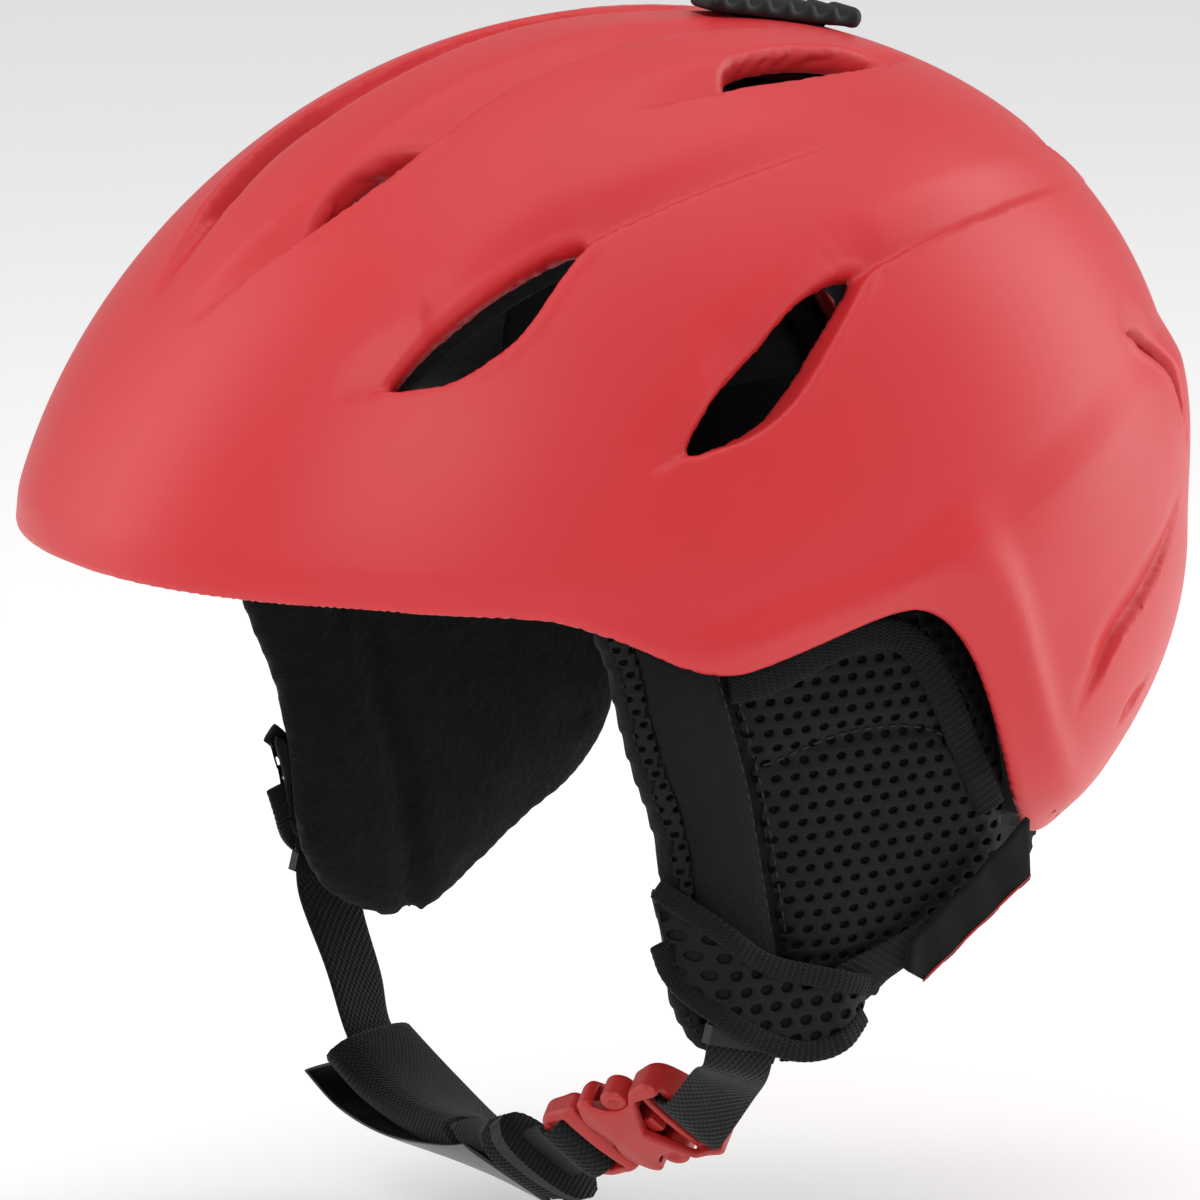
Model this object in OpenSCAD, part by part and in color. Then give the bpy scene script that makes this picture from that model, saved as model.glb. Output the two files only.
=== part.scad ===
// Child's ski helmet, size S/M, as an assembly of its separate pieces.
// Millimetres. +X is the wearer's left, -Y the front, +Z up.
// The origin is on the centre plane, at mid length, level with the front lower edge of the brow.

/* [Shell] */
// Width of the shell from side to side
shell_w = 202; // [198:1:206]
// Length of the shell from brow to nape
shell_l = 253; // [248:1:258]
// Height of the crown above the brow edge
shell_h = 102; // [100:1:104]
// Thickness of the moulded shell
shell_t = 2; // [1.6:0.2:2.2]
// Thickness of the foam liner
liner_t = 22; // [20:1:22]

/* [Ear pads] */
// Distance of the middle of each ear pad from the centre plane
pad_x = 84; // [83.5:0.25:84.5]
// Lean of each pad inwards towards the jaw, in degrees
pad_tilt = 3.2; // [2.8:0.1:3.6]
// Length of the pads below the brow line
pad_drop = 106; // [102:1:108]

/* [Chin strap] */
// Width of the webbing
web_w = 16; // [14:1:17]
// Width of the rear strap, which is lighter
rear_web_w = 11; // [10:0.5:12]
// Thickness of the webbing
web_t = 1.5; // [1.2:0.1:1.6]
// Width of the chin pad
chin_pad_w = 29; // [24:1:32]
// Width of the buckle
buckle_w = 25; // [24:0.5:26]

/* [Fit system] */
// Radius of the dial at the nape
dial_r = 15; // [13:0.5:15.5]
// Pitch radius of the pinion that draws the two bands together
pinion_r = 5; // [4.5:0.25:5.5]

/* [Hidden] */

SHELL_RED = "#d63c3f";
BUCKLE_RED = "#c52d28";
FOAM_BLACK = "#202022";
CLOTH_BLACK = "#18181a";
PLASTIC_BLACK = "#262628";
STEEL = "#8d8f92";

SEGMENTS = 72;
RINGS = 14;
LEFT = 1;
RIGHT = -1;

// ---------- skin of the helmet ----------

function ease(a, b, x) =
    let (t = max(0, min(1, (x - a) / (b - a))))
    t * t * (3 - 2 * t);
function mix(a, b, t) = a + (b - a) * t;

// Height of the lower edge for each angle away from the brow: low brow lobe, ear arch, rear lobe
EDGE = [
    [0, 0], [35, 0], [55, -2], [64, -8], [70, -14], [76, -16], [84, -12], [95, -6.5], [101, -5.5],
    [106, -12], [110, -24], [114, -38], [119, -51], [125, -60], [131, -64], [140, -65],
    [155, -64], [170, -57], [180, -55]
];
function turn(psi) = abs(psi > 180 ? psi - 360 : psi);
function edge_z(psi) = lookup(turn(psi), EDGE);
function rearness(psi) = (1 - cos(psi)) / 2;

// Radius of the widest section, drawn in by d
function plan_r(psi, d) =
    let (front = cos(psi) > 0,
         half_l = shell_l * (front ? 0.51 : 0.49) - d,
         half_w = shell_w / 2 - d,
         n = front ? 2.15 : 2.35)
    pow(pow(abs(sin(psi)) / half_w, n) + pow(abs(cos(psi)) / half_l, n), -1 / n);

// Radius of the skin at angle psi and height z, for a surface d inside the outer one
function skin_r(psi, z, d = 0) =
    let (back = rearness(psi),
         wide_z = -20 + 12 * back,
         power = 1.85 + 0.58 * back,
         top = shell_h - d,
         u = max(0, min(1, (z - wide_z) / (top - wide_z))),
         tuck = 0.05 + 0.10 * ease(95, 150, turn(psi)),
         drop = max(0, wide_z - z) / 50)
    plan_r(psi, d) * (z > wide_z ? pow(1 - pow(u, power), 1 / power) : 1 - tuck * drop * drop);
function skin_point(psi, z, d = 0) =
    let (r = skin_r(psi, z, d))
    [r * sin(psi), -r * cos(psi), z];

// Lower edge of the foam: it follows the shell, but stays high over the ears
function foam_edge(psi) = mix(2.5, edge_z(psi) + 3, ease(104, 112, turn(psi)));

// Closed dome between two depths under the outer surface; foam picks the lower edge of the liner
function dome_ring(v, d, foam) = [
    for (i = [0 : SEGMENTS - 1])
        let (psi = i * 360 / SEGMENTS,
             low = foam ? foam_edge(psi) : edge_z(psi),
             top = shell_h - d)
        skin_point(psi, top - (top - low) * pow(v, 1.6), d)
];
module dome(d_out, d_in, foam = false) {
    sheet = RINGS * SEGMENTS + 1;
    function at(side, ring, i) = side * sheet + 1 + ring * SEGMENTS + i % SEGMENTS;
    points = [
        for (d = [d_out, d_in])
            each concat([[0, 0, shell_h - d]],
                [for (ring = [1 : RINGS]) each dome_ring(ring / RINGS, d, foam)])
    ];
    caps = [
        for (i = [0 : SEGMENTS - 1])
            each [[0, at(0, 0, i + 1), at(0, 0, i)], [sheet, at(1, 0, i), at(1, 0, i + 1)]]
    ];
    walls = [
        for (ring = [0 : RINGS - 2], i = [0 : SEGMENTS - 1])
            each [
                [at(0, ring, i), at(0, ring, i + 1), at(0, ring + 1, i + 1)],
                [at(0, ring, i), at(0, ring + 1, i + 1), at(0, ring + 1, i)],
                [at(1, ring, i + 1), at(1, ring, i), at(1, ring + 1, i + 1)],
                [at(1, ring + 1, i + 1), at(1, ring, i), at(1, ring + 1, i)]
            ]
    ];
    rim = [
        for (i = [0 : SEGMENTS - 1])
            each [
                [at(0, RINGS - 1, i), at(0, RINGS - 1, i + 1), at(1, RINGS - 1, i + 1)],
                [at(0, RINGS - 1, i), at(1, RINGS - 1, i + 1), at(1, RINGS - 1, i)]
            ]
    ];
    polyhedron(points, concat(caps, walls, rim), convexity = 8);
}

// Closed patch of the skin between two angles, two heights and two depths
module skin_patch(psi_a, psi_b, z_a, z_b, d_out, d_in, across = 12, up = 4) {
    sheet = (across + 1) * (up + 1);
    function at(side, i, j) = side * sheet + j * (across + 1) + i;
    points = [
        for (d = [d_out, d_in], j = [0 : up], i = [0 : across])
            skin_point(mix(psi_a, psi_b, i / across), mix(z_a, z_b, j / up), d)
    ];
    faces = concat(
        [for (j = [0 : up - 1], i = [0 : across - 1]) each [
            [at(0, i, j), at(0, i, j + 1), at(0, i + 1, j + 1)],
            [at(0, i, j), at(0, i + 1, j + 1), at(0, i + 1, j)],
            [at(1, i, j), at(1, i + 1, j + 1), at(1, i, j + 1)],
            [at(1, i, j), at(1, i + 1, j), at(1, i + 1, j + 1)]
        ]],
        [for (i = [0 : across - 1]) each [
            [at(0, i, 0), at(0, i + 1, 0), at(1, i + 1, 0)],
            [at(0, i, 0), at(1, i + 1, 0), at(1, i, 0)],
            [at(0, i, up), at(1, i + 1, up), at(0, i + 1, up)],
            [at(0, i, up), at(1, i, up), at(1, i + 1, up)]
        ]],
        [for (j = [0 : up - 1]) each [
            [at(0, 0, j), at(1, 0, j + 1), at(0, 0, j + 1)],
            [at(0, 0, j), at(1, 0, j), at(1, 0, j + 1)],
            [at(0, across, j), at(0, across, j + 1), at(1, across, j + 1)],
            [at(0, across, j), at(1, across, j + 1), at(1, across, j)]
        ]]
    );
    polyhedron(points, faces, convexity = 4);
}

module both_sides() {
    children();
    mirror([1, 0, 0]) children();
}
module on_side(side) {
    mirror([side < 0 ? 1 : 0, 0, 0]) children();
}

// ---------- vents ----------

// Almond-shaped cutter along local Z: length along local X, its middle at the origin
module almond(length, width, depth) {
    hull()
        for (t = [-1 : 0.25 : 1])
            translate([t * (length / 2 - 1.5), 0, 0])
                cylinder(r = 1 + (width / 2 - 1) * (1 - t * t), h = depth, center = true, $fn = 16);
}
// Places a cutter at middle m, its length towards tip, pointing along the outward direction out
module aimed(m, tip, out) {
    z = out / norm(out);
    along = (tip - m) - ((tip - m) * z) * z;
    x = along / norm(along);
    y = cross(z, x);
    multmatrix([[x.x, y.x, z.x, m.x], [x.y, y.y, z.y, m.y], [x.z, y.z, z.z, m.z], [0, 0, 0, 1]])
        children();
}
FRONT_VENT = [23, -70, 76];
FRONT_VENT_TIP = [25, -56, 84];
FRONT_VENT_OUT = [0.22, -0.55, 0.80];
// The vents of the wearer's left half; the right half mirrors them
module side_vents(depth) {
    aimed([63, -60, 57], [63, -39, 70], [0.67, -0.44, 0.60]) almond(52, 12, depth);
    aimed([87, -8, 46], [81, 15, 60], [0.89, -0.09, 0.45]) almond(56, 13, depth);
    aimed(FRONT_VENT, FRONT_VENT_TIP, FRONT_VENT_OUT) almond(46, 10, depth);
    aimed([35, 30, 95], [27, 51, 94], [0.31, 0.12, 0.94]) almond(42, 9, depth);
    aimed([31, 90, 71], [34, 97, 61], [0.26, 0.68, 0.68]) almond(24, 10, depth);
    aimed([63, 97, 30], [65, 99, 18], [0.60, 0.76, 0.25]) almond(28, 9, depth);
}
SLIDE_AT = [0, 41, 98.9];
SLIDE_TILT = -10.8;
// Frame of the vent slider: local Y runs back along the crown, local Z stands off it
module slide_frame() {
    translate(SLIDE_AT) rotate([SLIDE_TILT, 0, 0]) children();
}
module crown_slot() {
    slide_frame() translate([-3, -17, -9]) cube([6, 36, 20]);
}

// ---------- shell and liner ----------

module outer_shell() {
    color(SHELL_RED)
        difference() {
            dome(0, shell_t);
            both_sides() side_vents(26);
            crown_slot();
        }
}
LINER_GAP = 0.6;
LINER_IN = shell_t + LINER_GAP + liner_t;
module foam_liner() {
    color(FOAM_BLACK)
        difference() {
            dome(shell_t + LINER_GAP, LINER_IN, foam = true);
            both_sides() side_vents(70);
            slide_frame() translate([-24, -44, -13.5]) cube([48, 88, 30]);
            slide_frame() both_sides() translate([8, -22, -40]) cube([9, 20, 60]);
            both_sides() {
                translate([60, 0, PIVOT_Z])
                    yz_slab(0, 60) offset(r = 5) polygon(pad_outline());
                ear_mount_posts(2.9, 8);
                rear_anchor_block(0.6, 40);
            }
        }
}
module vent_mesh() {
    color(PLASTIC_BLACK)
        both_sides()
            aimed(FRONT_VENT, FRONT_VENT_TIP, FRONT_VENT_OUT)
                translate([0, 0, -9]) almond(45, 9, 1);
}

// ---------- vent slider on the crown ----------

// Middle of the slider at rest, along the slot
SLIDER_REST = 1;
RIB_PITCH = 5.5;
module slider_frame() {
    color(PLASTIC_BLACK)
        slide_frame()
            difference() {
                translate([-12, -23, -7.4]) cube([24, 48, 1.6]);
                translate([-3.2, -17, -9]) cube([6.4, 36, 5]);
            }
}
module vent_slider() {
    color(PLASTIC_BLACK)
        slide_frame()
            translate([0, SLIDER_REST, 0]) {
                translate([-5.5, -18.5, 0.5]) cube([11, 37, 1.6]);
                translate([-2.6, -11, -9]) cube([5.2, 22, 10]);
                for (k = [-3 : 3])
                    translate([-6, k * RIB_PITCH, 2.6]) rotate([0, 90, 0]) cylinder(r = 2.1, h = 12, $fn = 24);
            }
}
module vent_shutter() {
    color(PLASTIC_BLACK)
        slide_frame()
            translate([0, SLIDER_REST, 0])
                difference() {
                    translate([-20, -26, -11]) cube([40, 52, 1.6]);
                    both_sides() translate([8, -17, -12]) cube([9, 10, 4]);
                }
}

// ---------- inner padding ----------

PAD_OUT = LINER_IN + 1.1;
module brow_pad() {
    color(CLOTH_BLACK) skin_patch(-46, 46, 6, 30, PAD_OUT, PAD_OUT + 6, across = 20);
}
module side_pads() {
    color(CLOTH_BLACK) both_sides() skin_patch(62, 104, 10, 36, PAD_OUT, PAD_OUT + 6);
}
module crown_pad() {
    top = shell_h - LINER_IN - 13.5;
    color(CLOTH_BLACK)
        translate([0, 0, top])
            linear_extrude(5)
                offset(r = 6) offset(r = -6) union() {
                    square([30, 66], center = true);
                    square([60, 26], center = true);
                    circle(r = 20);
                }
}
module hook_tabs() {
    color(PLASTIC_BLACK) {
        for (psi = [-34, 0, 34]) hook_tab(psi, 18);
        both_sides() for (psi = [72, 94]) hook_tab(psi, 23);
    }
}
module hook_tab(psi, z) {
    skin_patch(psi - 5, psi + 5, z - 5, z + 5, LINER_IN + 0.3, LINER_IN + 0.8, across = 2, up = 2);
}

// ---------- ear pads ----------

PIVOT_Z = -12;
CORE_IN = -6.5;
RIM_OUT = 1;
CORE_OUT = 4.3;
COVER_OUT = 6;
BINDING_OUT = 3;

// Frame of an ear pad: local X points away from the head, Y to the back, Z up from the pivot
module pad_frame(side) {
    on_side(side) translate([pad_x, 0, PIVOT_Z]) rotate([0, pad_tilt, 0]) children();
}
// Slab between two local X planes, of a shape drawn in (Y, Z)
module yz_slab(x_a, x_b) {
    translate([x_a, 0, 0]) rotate([90, 0, 90]) linear_extrude(x_b - x_a) children();
}
function curve(a, b, c, d, t) =
    0.5 * (2 * b + (c - a) * t + (2 * a - 5 * b + 4 * c - d) * t * t
        + (3 * b - a - 3 * c + d) * t * t * t);
function smooth_loop(p, steps = 4) =
    let (n = len(p))
    [for (i = [0 : n - 1], j = [0 : steps - 1])
        curve(p[(i + n - 1) % n], p[i], p[(i + 1) % n], p[(i + 2) % n], j / steps)];

// Outline of a pad in (Y, Z), Z from the pivot
PAD_TOP = 9.5;
PAD_SHAPE = [
    [-48, 8], [-46, -4], [-41, -22], [-34, -40], [-31, -58], [-29, -76], [-20, -88], [-3, -94],
    [8, -89], [26, -76], [40, -67], [48.5, -55], [50.5, -42], [48.5, -27], [42.5, -9], [34, 3], [22, 9],
    [-14, 9.5]
];
function pad_outline() =
    let (stretch = (pad_drop + PIVOT_Z + PAD_TOP) / (94 + PAD_TOP))
    smooth_loop([for (p = PAD_SHAPE) [p.x, PAD_TOP + (p.y - PAD_TOP) * stretch]]);

// Fleece-lined cushion, thinner round its edge where the facings are sewn together
module ear_pad(side) {
    color(CLOTH_BLACK)
        pad_frame(side) {
            yz_slab(CORE_IN, RIM_OUT) polygon(pad_outline());
            yz_slab(RIM_OUT - 1, CORE_OUT) offset(delta = -4) polygon(pad_outline());
        }
}
module ear_mesh(side) {
    color(CLOTH_BLACK)
        pad_frame(side)
            yz_slab(CORE_OUT + 0.1, COVER_OUT)
                offset(delta = -4.2) polygon(pad_outline());
}
// Bound edge of the pad: along the ear arch and down its back
module ear_binding(side) {
    color(CLOTH_BLACK)
        pad_frame(side)
            yz_slab(RIM_OUT + 0.1, BINDING_OUT)
                difference() {
                    offset(delta = 0.3) polygon(pad_outline());
                    offset(delta = -3.9) polygon(pad_outline());
                    translate([-60, -100]) square([42, 120]);
                    translate([-60, -140]) square([130, 100]);
                }
}
POCKET_IN = 10.2;
POCKET_OUT = 11.6;
// Mesh pocket across the lower front corner that hides the strap joint
module strap_pocket(side) {
    color(CLOTH_BLACK)
        pad_frame(side)
            yz_slab(POCKET_IN, POCKET_OUT)
                polygon([[-34, -50], [-24, -58], [-13, -66], [22, -76], [16, -82], [8, -87], [-7, -85],
                    [-19, -79], [-29, -71], [-32, -60]]);
}
// Ribbon through the listed stations, each [middle, half width vector]
module ribbon(stations, thickness) {
    n = len(stations);
    function heading(i) = stations[min(i + 1, n - 1)][0] - stations[max(i - 1, 0)][0];
    function lift(i) =
        let (c = cross(heading(i), stations[i][1]))
        c / norm(c) * thickness / 2;
    points = [
        for (i = [0 : n - 1])
            let (m = stations[i][0], w = stations[i][1], t = lift(i))
            each [m - w - t, m + w - t, m + w + t, m - w + t]
    ];
    sides = [
        for (i = [0 : n - 2], k = [0 : 3])
            let (a = 4 * i + k, b = 4 * i + (k + 1) % 4)
            each [[a, b, b + 4], [a, b + 4, a + 4]]
    ];
    e = 4 * n - 4;
    ends = [[0, 2, 1], [0, 3, 2], [e, e + 1, e + 2], [e, e + 2, e + 3]];
    polyhedron(points, concat(sides, ends), convexity = 6);
}
// Unit vector along the width of a strap, as half a web width
function web_half(v) = v / norm(v) * web_w / 2;

// Rear strap, from behind the pad's back edge forward and down to the divider
module rear_web(side) {
    color(CLOTH_BLACK)
        pad_frame(side)
            ribbon([
                [[7.2, 34, -61.5], [0, 0.45, 0.89] * rear_web_w / 2],
                [[7.2, 20, -69], [0, 0.40, 0.92] * rear_web_w / 2],
                [[7.2, 4, -75], [0, 0.30, 0.95] * rear_web_w / 2]
            ], web_t);
}
// Twill sleeve sewn over the rear strap
module twill_sleeve(side) {
    color(CLOTH_BLACK)
        pad_frame(side)
            yz_slab(8.2, 9.4)
                polygon([[22, -66], [50, -41], [50.5, -56], [26, -75], [22, -73]]);
}
module upper_web(side) {
    color(CLOTH_BLACK)
        pad_frame(side)
            ribbon([
                [[7.3, -14, -61], web_half([0, 1, -0.25])],
                [[7.3, -17, -75], web_half([0, 1, -0.25])]
            ], web_t);
}
// Plate that gathers the front and rear straps
module strap_divider(side) {
    color(PLASTIC_BLACK)
        pad_frame(side)
            yz_slab(8.3, 9.6)
                difference() {
                    translate([-8, -65]) circle(r = 8, $fn = 40);
                    translate([-8, -65]) square([10, 3], center = true);
                }
}

// Plug-in strip that holds the pad to the lower edge of the foam
module ear_mount(side) {
    color(PLASTIC_BLACK)
        on_side(side) {
            translate([79, -36, -0.4]) cube([10, 56, 1.8]);
            ear_mount_posts(2.4, 6);
        }
}
module ear_mount_posts(r, h) {
    for (y = [-28, -8, 12])
        translate([84, y, 1.2]) cylinder(r = r, h = h, $fn = 24);
}

// ---------- strap anchors ----------

// Rear anchor; for its pocket in the foam, gap widens it and reach opens it towards the shell
module rear_anchor_block(gap = 0, reach = 6) {
    translate([72 - gap, 64 - gap, -34 - gap]) cube([reach + 2 * gap, 8 + 2 * gap, 12 + 2 * gap]);
}
module strap_anchors() {
    color(PLASTIC_BLACK) both_sides() rear_anchor_block();
}

// ---------- chin strap ----------

// The strap leaves each pad on this line, which is also its fore and aft swing axis
EXIT = [87, -17, -99];
BUCKLE_AT = [39.5, -13.9, -123.2];
// Frame of the buckle: local X from plug to socket loop, Y across, Z towards the chin
module buckle_frame() {
    translate(BUCKLE_AT) rotate([0, 0, 16]) rotate([0, -21, 0]) rotate([-46, 0, 0]) children();
}
function turn_x(v, a) = [v.x, v.y * cos(a) - v.z * sin(a), v.y * sin(a) + v.z * cos(a)];
function turn_y(v, a) = [v.x * cos(a) + v.z * sin(a), v.y, -v.x * sin(a) + v.z * cos(a)];
function turn_z(v, a) = [v.x * cos(a) - v.y * sin(a), v.x * sin(a) + v.y * cos(a), v.z];
function buckle_dir(v) = turn_z(turn_y(turn_x(v, -46), -21), 16);
function buckle_point(v) = BUCKLE_AT + buckle_dir(v);
ACROSS = buckle_dir([0, 1, 0]);

module strap_keeper(side) {
    color(PLASTIC_BLACK)
        on_side(side)
            translate([EXIT.x + 0.6, EXIT.y + 0.6, EXIT.z + 4.4])
                rotate([-14, 0, 0])
                    difference() {
                        cube([2.9, web_w + 2.4, 4], center = true);
                        cube([web_t + 0.3, web_w + 0.4, 10], center = true);
                    }
}
module chin_web_left() {
    color(CLOTH_BLACK)
        ribbon([
            [[87.1, -17.2, -99.2], web_half([0, 1, -0.25])],
            [[85.6, -17.4, -101.6], web_half([0, 1, -0.3])],
            [[72, -12.5, -108.5], web_half([0.03, 0.84, -0.5])],
            [buckle_point([LOOP_X - 1, 0, -5.4]), web_half(ACROSS)]
        ], web_t);
}
module chin_web_right() {
    color(CLOTH_BLACK)
        ribbon([
            [[-87.1, -17.2, -99.2], web_half([0, 1, -0.25])],
            [[-86.5, -16.6, -103], web_half([0, 1, -0.3])],
            [[-79, -15.5, -116], web_half([-0.2, 0.94, -0.25])],
            [[-71.5, -16.6, -125.5], web_half([-0.4, 0.90, -0.1])]
        ], web_t);
}
// Middle line of the chin pad with the direction of its width, from its far end to the plug
CHIN_LINE = [
    [[-68, -18, -129], [-0.42, 0.90, -0.05]],
    [[-57, -14, -137], [-0.28, 0.94, -0.14]],
    [[-38, -12, -142.5], [-0.08, 0.92, -0.34]],
    [[-16, -12, -142.5], [0, 0.86, -0.50]],
    [[0, -15, -140], [0.03, 0.80, -0.60]],
    [[8, -17, -137], [0.04, 0.76, -0.65]]
];
function chin_half(v, share = 1) = v / norm(v) * share * chin_pad_w / 2;
module chin_pad() {
    color(CLOTH_BLACK) ribbon([for (s = CHIN_LINE) [s[0], chin_half(s[1])]], 6.5);
}
// Thin facing under the pad, with a free lip along its front edge
module chin_pad_flap() {
    color(CLOTH_BLACK)
        ribbon([for (k = [0 : 4]) let (s = CHIN_LINE[k])
            [s[0] + [-1.5, -3.4, -6.2], chin_half(s[1], 0.96)]], 1);
}
module plug_web() {
    color(CLOTH_BLACK)
        ribbon([
            [[9.2, -17.3, -136.4], web_half([0.04, 0.76, -0.66])],
            [buckle_point([PLUG_X - 0.6, 0, 0]), web_half(ACROSS)]
        ], web_t);
}

// ---------- buckle ----------

BUCKLE_T = 8;
MOUTH_X = -8;
LOOP_X = 20;
PLUG_X = -20.5;
module rounded_bar(x_a, x_b, width, thickness, r = 3) {
    translate([x_a, -width / 2, -thickness / 2])
        linear_extrude(thickness)
            translate([r, r])
                offset(r = r) square([x_b - x_a - 2 * r, width - 2 * r]);
}
module buckle_socket() {
    color(BUCKLE_RED)
        buckle_frame()
            difference() {
                rounded_bar(MOUTH_X, LOOP_X, buckle_w, BUCKLE_T, 4);
                // Hollow for the prongs
                translate([MOUTH_X - 1, -buckle_w / 2 + 2, -BUCKLE_T / 2 + 1.6])
                    cube([18, buckle_w - 4, BUCKLE_T - 3.2]);
                // Side windows for the thumb pads
                for (s = [-1, 1])
                    translate([3.5, s * buckle_w / 2, 0])
                        cylinder(r = 5.5, h = BUCKLE_T + 2, center = true, $fn = 40);
                // Window for the webbing
                translate([11.5, -web_w / 2 - 0.8, -BUCKLE_T])
                    cube([5.4, web_w + 1.6, 2 * BUCKLE_T]);
            }
}
module buckle_plug() {
    color(BUCKLE_RED)
        buckle_frame()
            difference() {
                union() {
                    rounded_bar(PLUG_X, MOUTH_X - 0.4, buckle_w - 3, BUCKLE_T - 1, 3);
                    translate([-10, -2, -2]) cube([17, 4, 4]);
                }
                translate([PLUG_X + 4, -web_w / 2 - 0.6, -BUCKLE_T]) cube([4.5, web_w + 1.2, 2 * BUCKLE_T]);
            }
}
// Springy arm with a thumb pad that fills the side window
module buckle_prong(s) {
    color(BUCKLE_RED)
        buckle_frame()
            scale([1, s, 1]) {
                translate([MOUTH_X - 0.2, 5.2, -2]) cube([9, 2.2, 4]);
                translate([0.8, 5.2, -2]) cube([6, 5, 4]);
                translate([3.5, 9.4, 0]) cylinder(r = 3.2, h = 4, center = true, $fn = 32);
            }
}

// ---------- fit system at the nape ----------

// The yoke and bands are arcs about this upright axis
FIT_Y = 18;
FIT_R = 64.3;
DIAL_Z = -76;
// Upright arc wall from angle a to b, measured from the back
module arc_wall(r, t, a, b, z_a, z_b) {
    translate([0, FIT_Y, z_a])
        rotate([0, 0, 90 - b])
            rotate_extrude(angle = b - a, $fn = 120)
                translate([r - t, 0]) square([t, z_b - z_a]);
}
module fit_hanger() {
    color(PLASTIC_BLACK)
        difference() {
            translate([-13, 80.4, -24]) cube([26, 12.8, 20]);
            // Channel for the tongue, open towards the head between two lips
            translate([-9.3, 81.7, -30]) cube([18.6, 2.5, 40]);
            translate([-6, 80, -30]) cube([12, 3, 40]);
            for (z = [-20 : 4 : -8])
                translate([0, 90, z]) rotate([90, 0, 0]) cylinder(r = 1.2, h = 10, $fn = 24);
        }
}
SCREW_X = 10.5;
module fit_yoke() {
    color(PLASTIC_BLACK)
        difference() {
            union() {
                arc_wall(FIT_R, 2.2, -52, 52, -62, -50);
                translate([-9, 82, -56]) cube([18, 1.8, 50]);
                translate([-9, 80.5, -67]) cube([18, 1.7, 14]);
                translate([0, 82, DIAL_Z]) rotate([90, 0, 0]) cylinder(r = 14.6, h = 1.4, $fn = 96);
            }
            translate([0, 100, DIAL_Z]) rotate([90, 0, 0]) cylinder(r = 2.2, h = 40, $fn = 32);
            both_sides()
                translate([SCREW_X, 84, DIAL_Z]) rotate([90, 0, 0]) cylinder(r = 1.25, h = 6, $fn = 24);
        }
}
module dial_housing() {
    slot_y = 82.6;
    color(PLASTIC_BLACK)
        translate([0, 0, DIAL_Z])
            difference() {
                translate([0, 91, 0]) rotate([90, 0, 0]) cylinder(r = 16, h = 8.6, $fn = 96);
                // Room for the pinion, the hub of the dial and the two bands
                translate([0, 89.2, 0]) rotate([90, 0, 0]) cylinder(r = 7.2, h = 8, $fn = 64);
                translate([0, 95, 0]) rotate([90, 0, 0]) cylinder(r = 3.2, h = 14, $fn = 48);
                for (z = [pinion_r - 1.2, -pinion_r - 5.2])
                    translate([-20, slot_y, z]) cube([40, 5.2, 6.4]);
                both_sides()
                    translate([SCREW_X, 89, 0]) rotate([90, 0, 0]) cylinder(r = 1.15, h = 8, $fn = 24);
            }
}
module housing_screws() {
    color(STEEL)
        both_sides()
            translate([SCREW_X, 0, DIAL_Z]) {
                translate([0, 80.3, 0]) rotate([90, 0, 0]) cylinder(r = 2, h = 1.3, $fn = 32);
                translate([0, 88, 0]) rotate([90, 0, 0]) cylinder(r = 1.1, h = 8, $fn = 24);
            }
}
module nape_pad() {
    color(CLOTH_BLACK) arc_wall(FIT_R - 2.6, 5, -30, 30, -64, -44);
}
TEETH = 12;
TOOTH_W = 0.9;
module dial_knob() {
    color(PLASTIC_BLACK)
        translate([0, 0, DIAL_Z])
            difference() {
                union() {
                    translate([0, 98.6, 0])
                        rotate([90, 0, 0])
                            linear_extrude(7)
                                difference() {
                                    circle(r = dial_r, $fn = 96);
                                    for (k = [0 : 15])
                                        rotate(k * 22.5) translate([dial_r + 0.9, 0]) circle(r = 1.8, $fn = 24);
                                }
                    translate([0, 92, 0]) rotate([90, 0, 0]) cylinder(r = 2.9, h = 3.4, $fn = 48);
                }
                translate([0, 92, 0]) rotate([90, 0, 0]) cylinder(r = 1.6, h = 10, center = true, $fn = 32);
            }
}
module dial_pinion() {
    color("#c9c9c6")
        translate([0, 88.2, DIAL_Z])
            rotate([90, 0, 0]) {
                linear_extrude(4.6)
                    union() {
                        circle(r = pinion_r - 1.1, $fn = 48);
                        for (k = [0 : TEETH - 1])
                            rotate(k * 360 / TEETH)
                                translate([pinion_r - 1.6, -TOOTH_W / 2]) square([1.4, TOOTH_W]);
                    }
                translate([0, 0, -3.6]) cylinder(r = 1.5, h = 11, $fn = 32);
            }
}
BAND_R = 68.6;
BAND_T = 1.4;
// Band that wraps from inside the housing round towards the temple, where it ends in a wider tab.
// The left band runs above the pinion and the right one below it.
module fit_band(side) {
    pitch = 360 * pinion_r / TEETH / (BAND_R - BAND_T / 2);
    tooth = TOOTH_W / (BAND_R - BAND_T / 2) * 90 / PI;
    z_in = pinion_r + 0.4;
    z_out = z_in + 3;
    color(PLASTIC_BLACK)
        translate([0, 0, DIAL_Z])
            rotate([0, side < 0 ? 180 : 0, 0]) {
                arc_wall(BAND_R, BAND_T, -11, 60, z_in, z_out);
                arc_wall(BAND_R + 0.3, BAND_T + 0.6, 52, 62, -9, 9);
                for (k = [-4.5 : 4.5])
                    arc_wall(BAND_R - 0.2, BAND_T - 0.4, k * pitch - tooth, k * pitch + tooth,
                        pinion_r - 0.7, z_in + 0.5);
            }
}

// ---------- goggle strap keeper ----------

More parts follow.
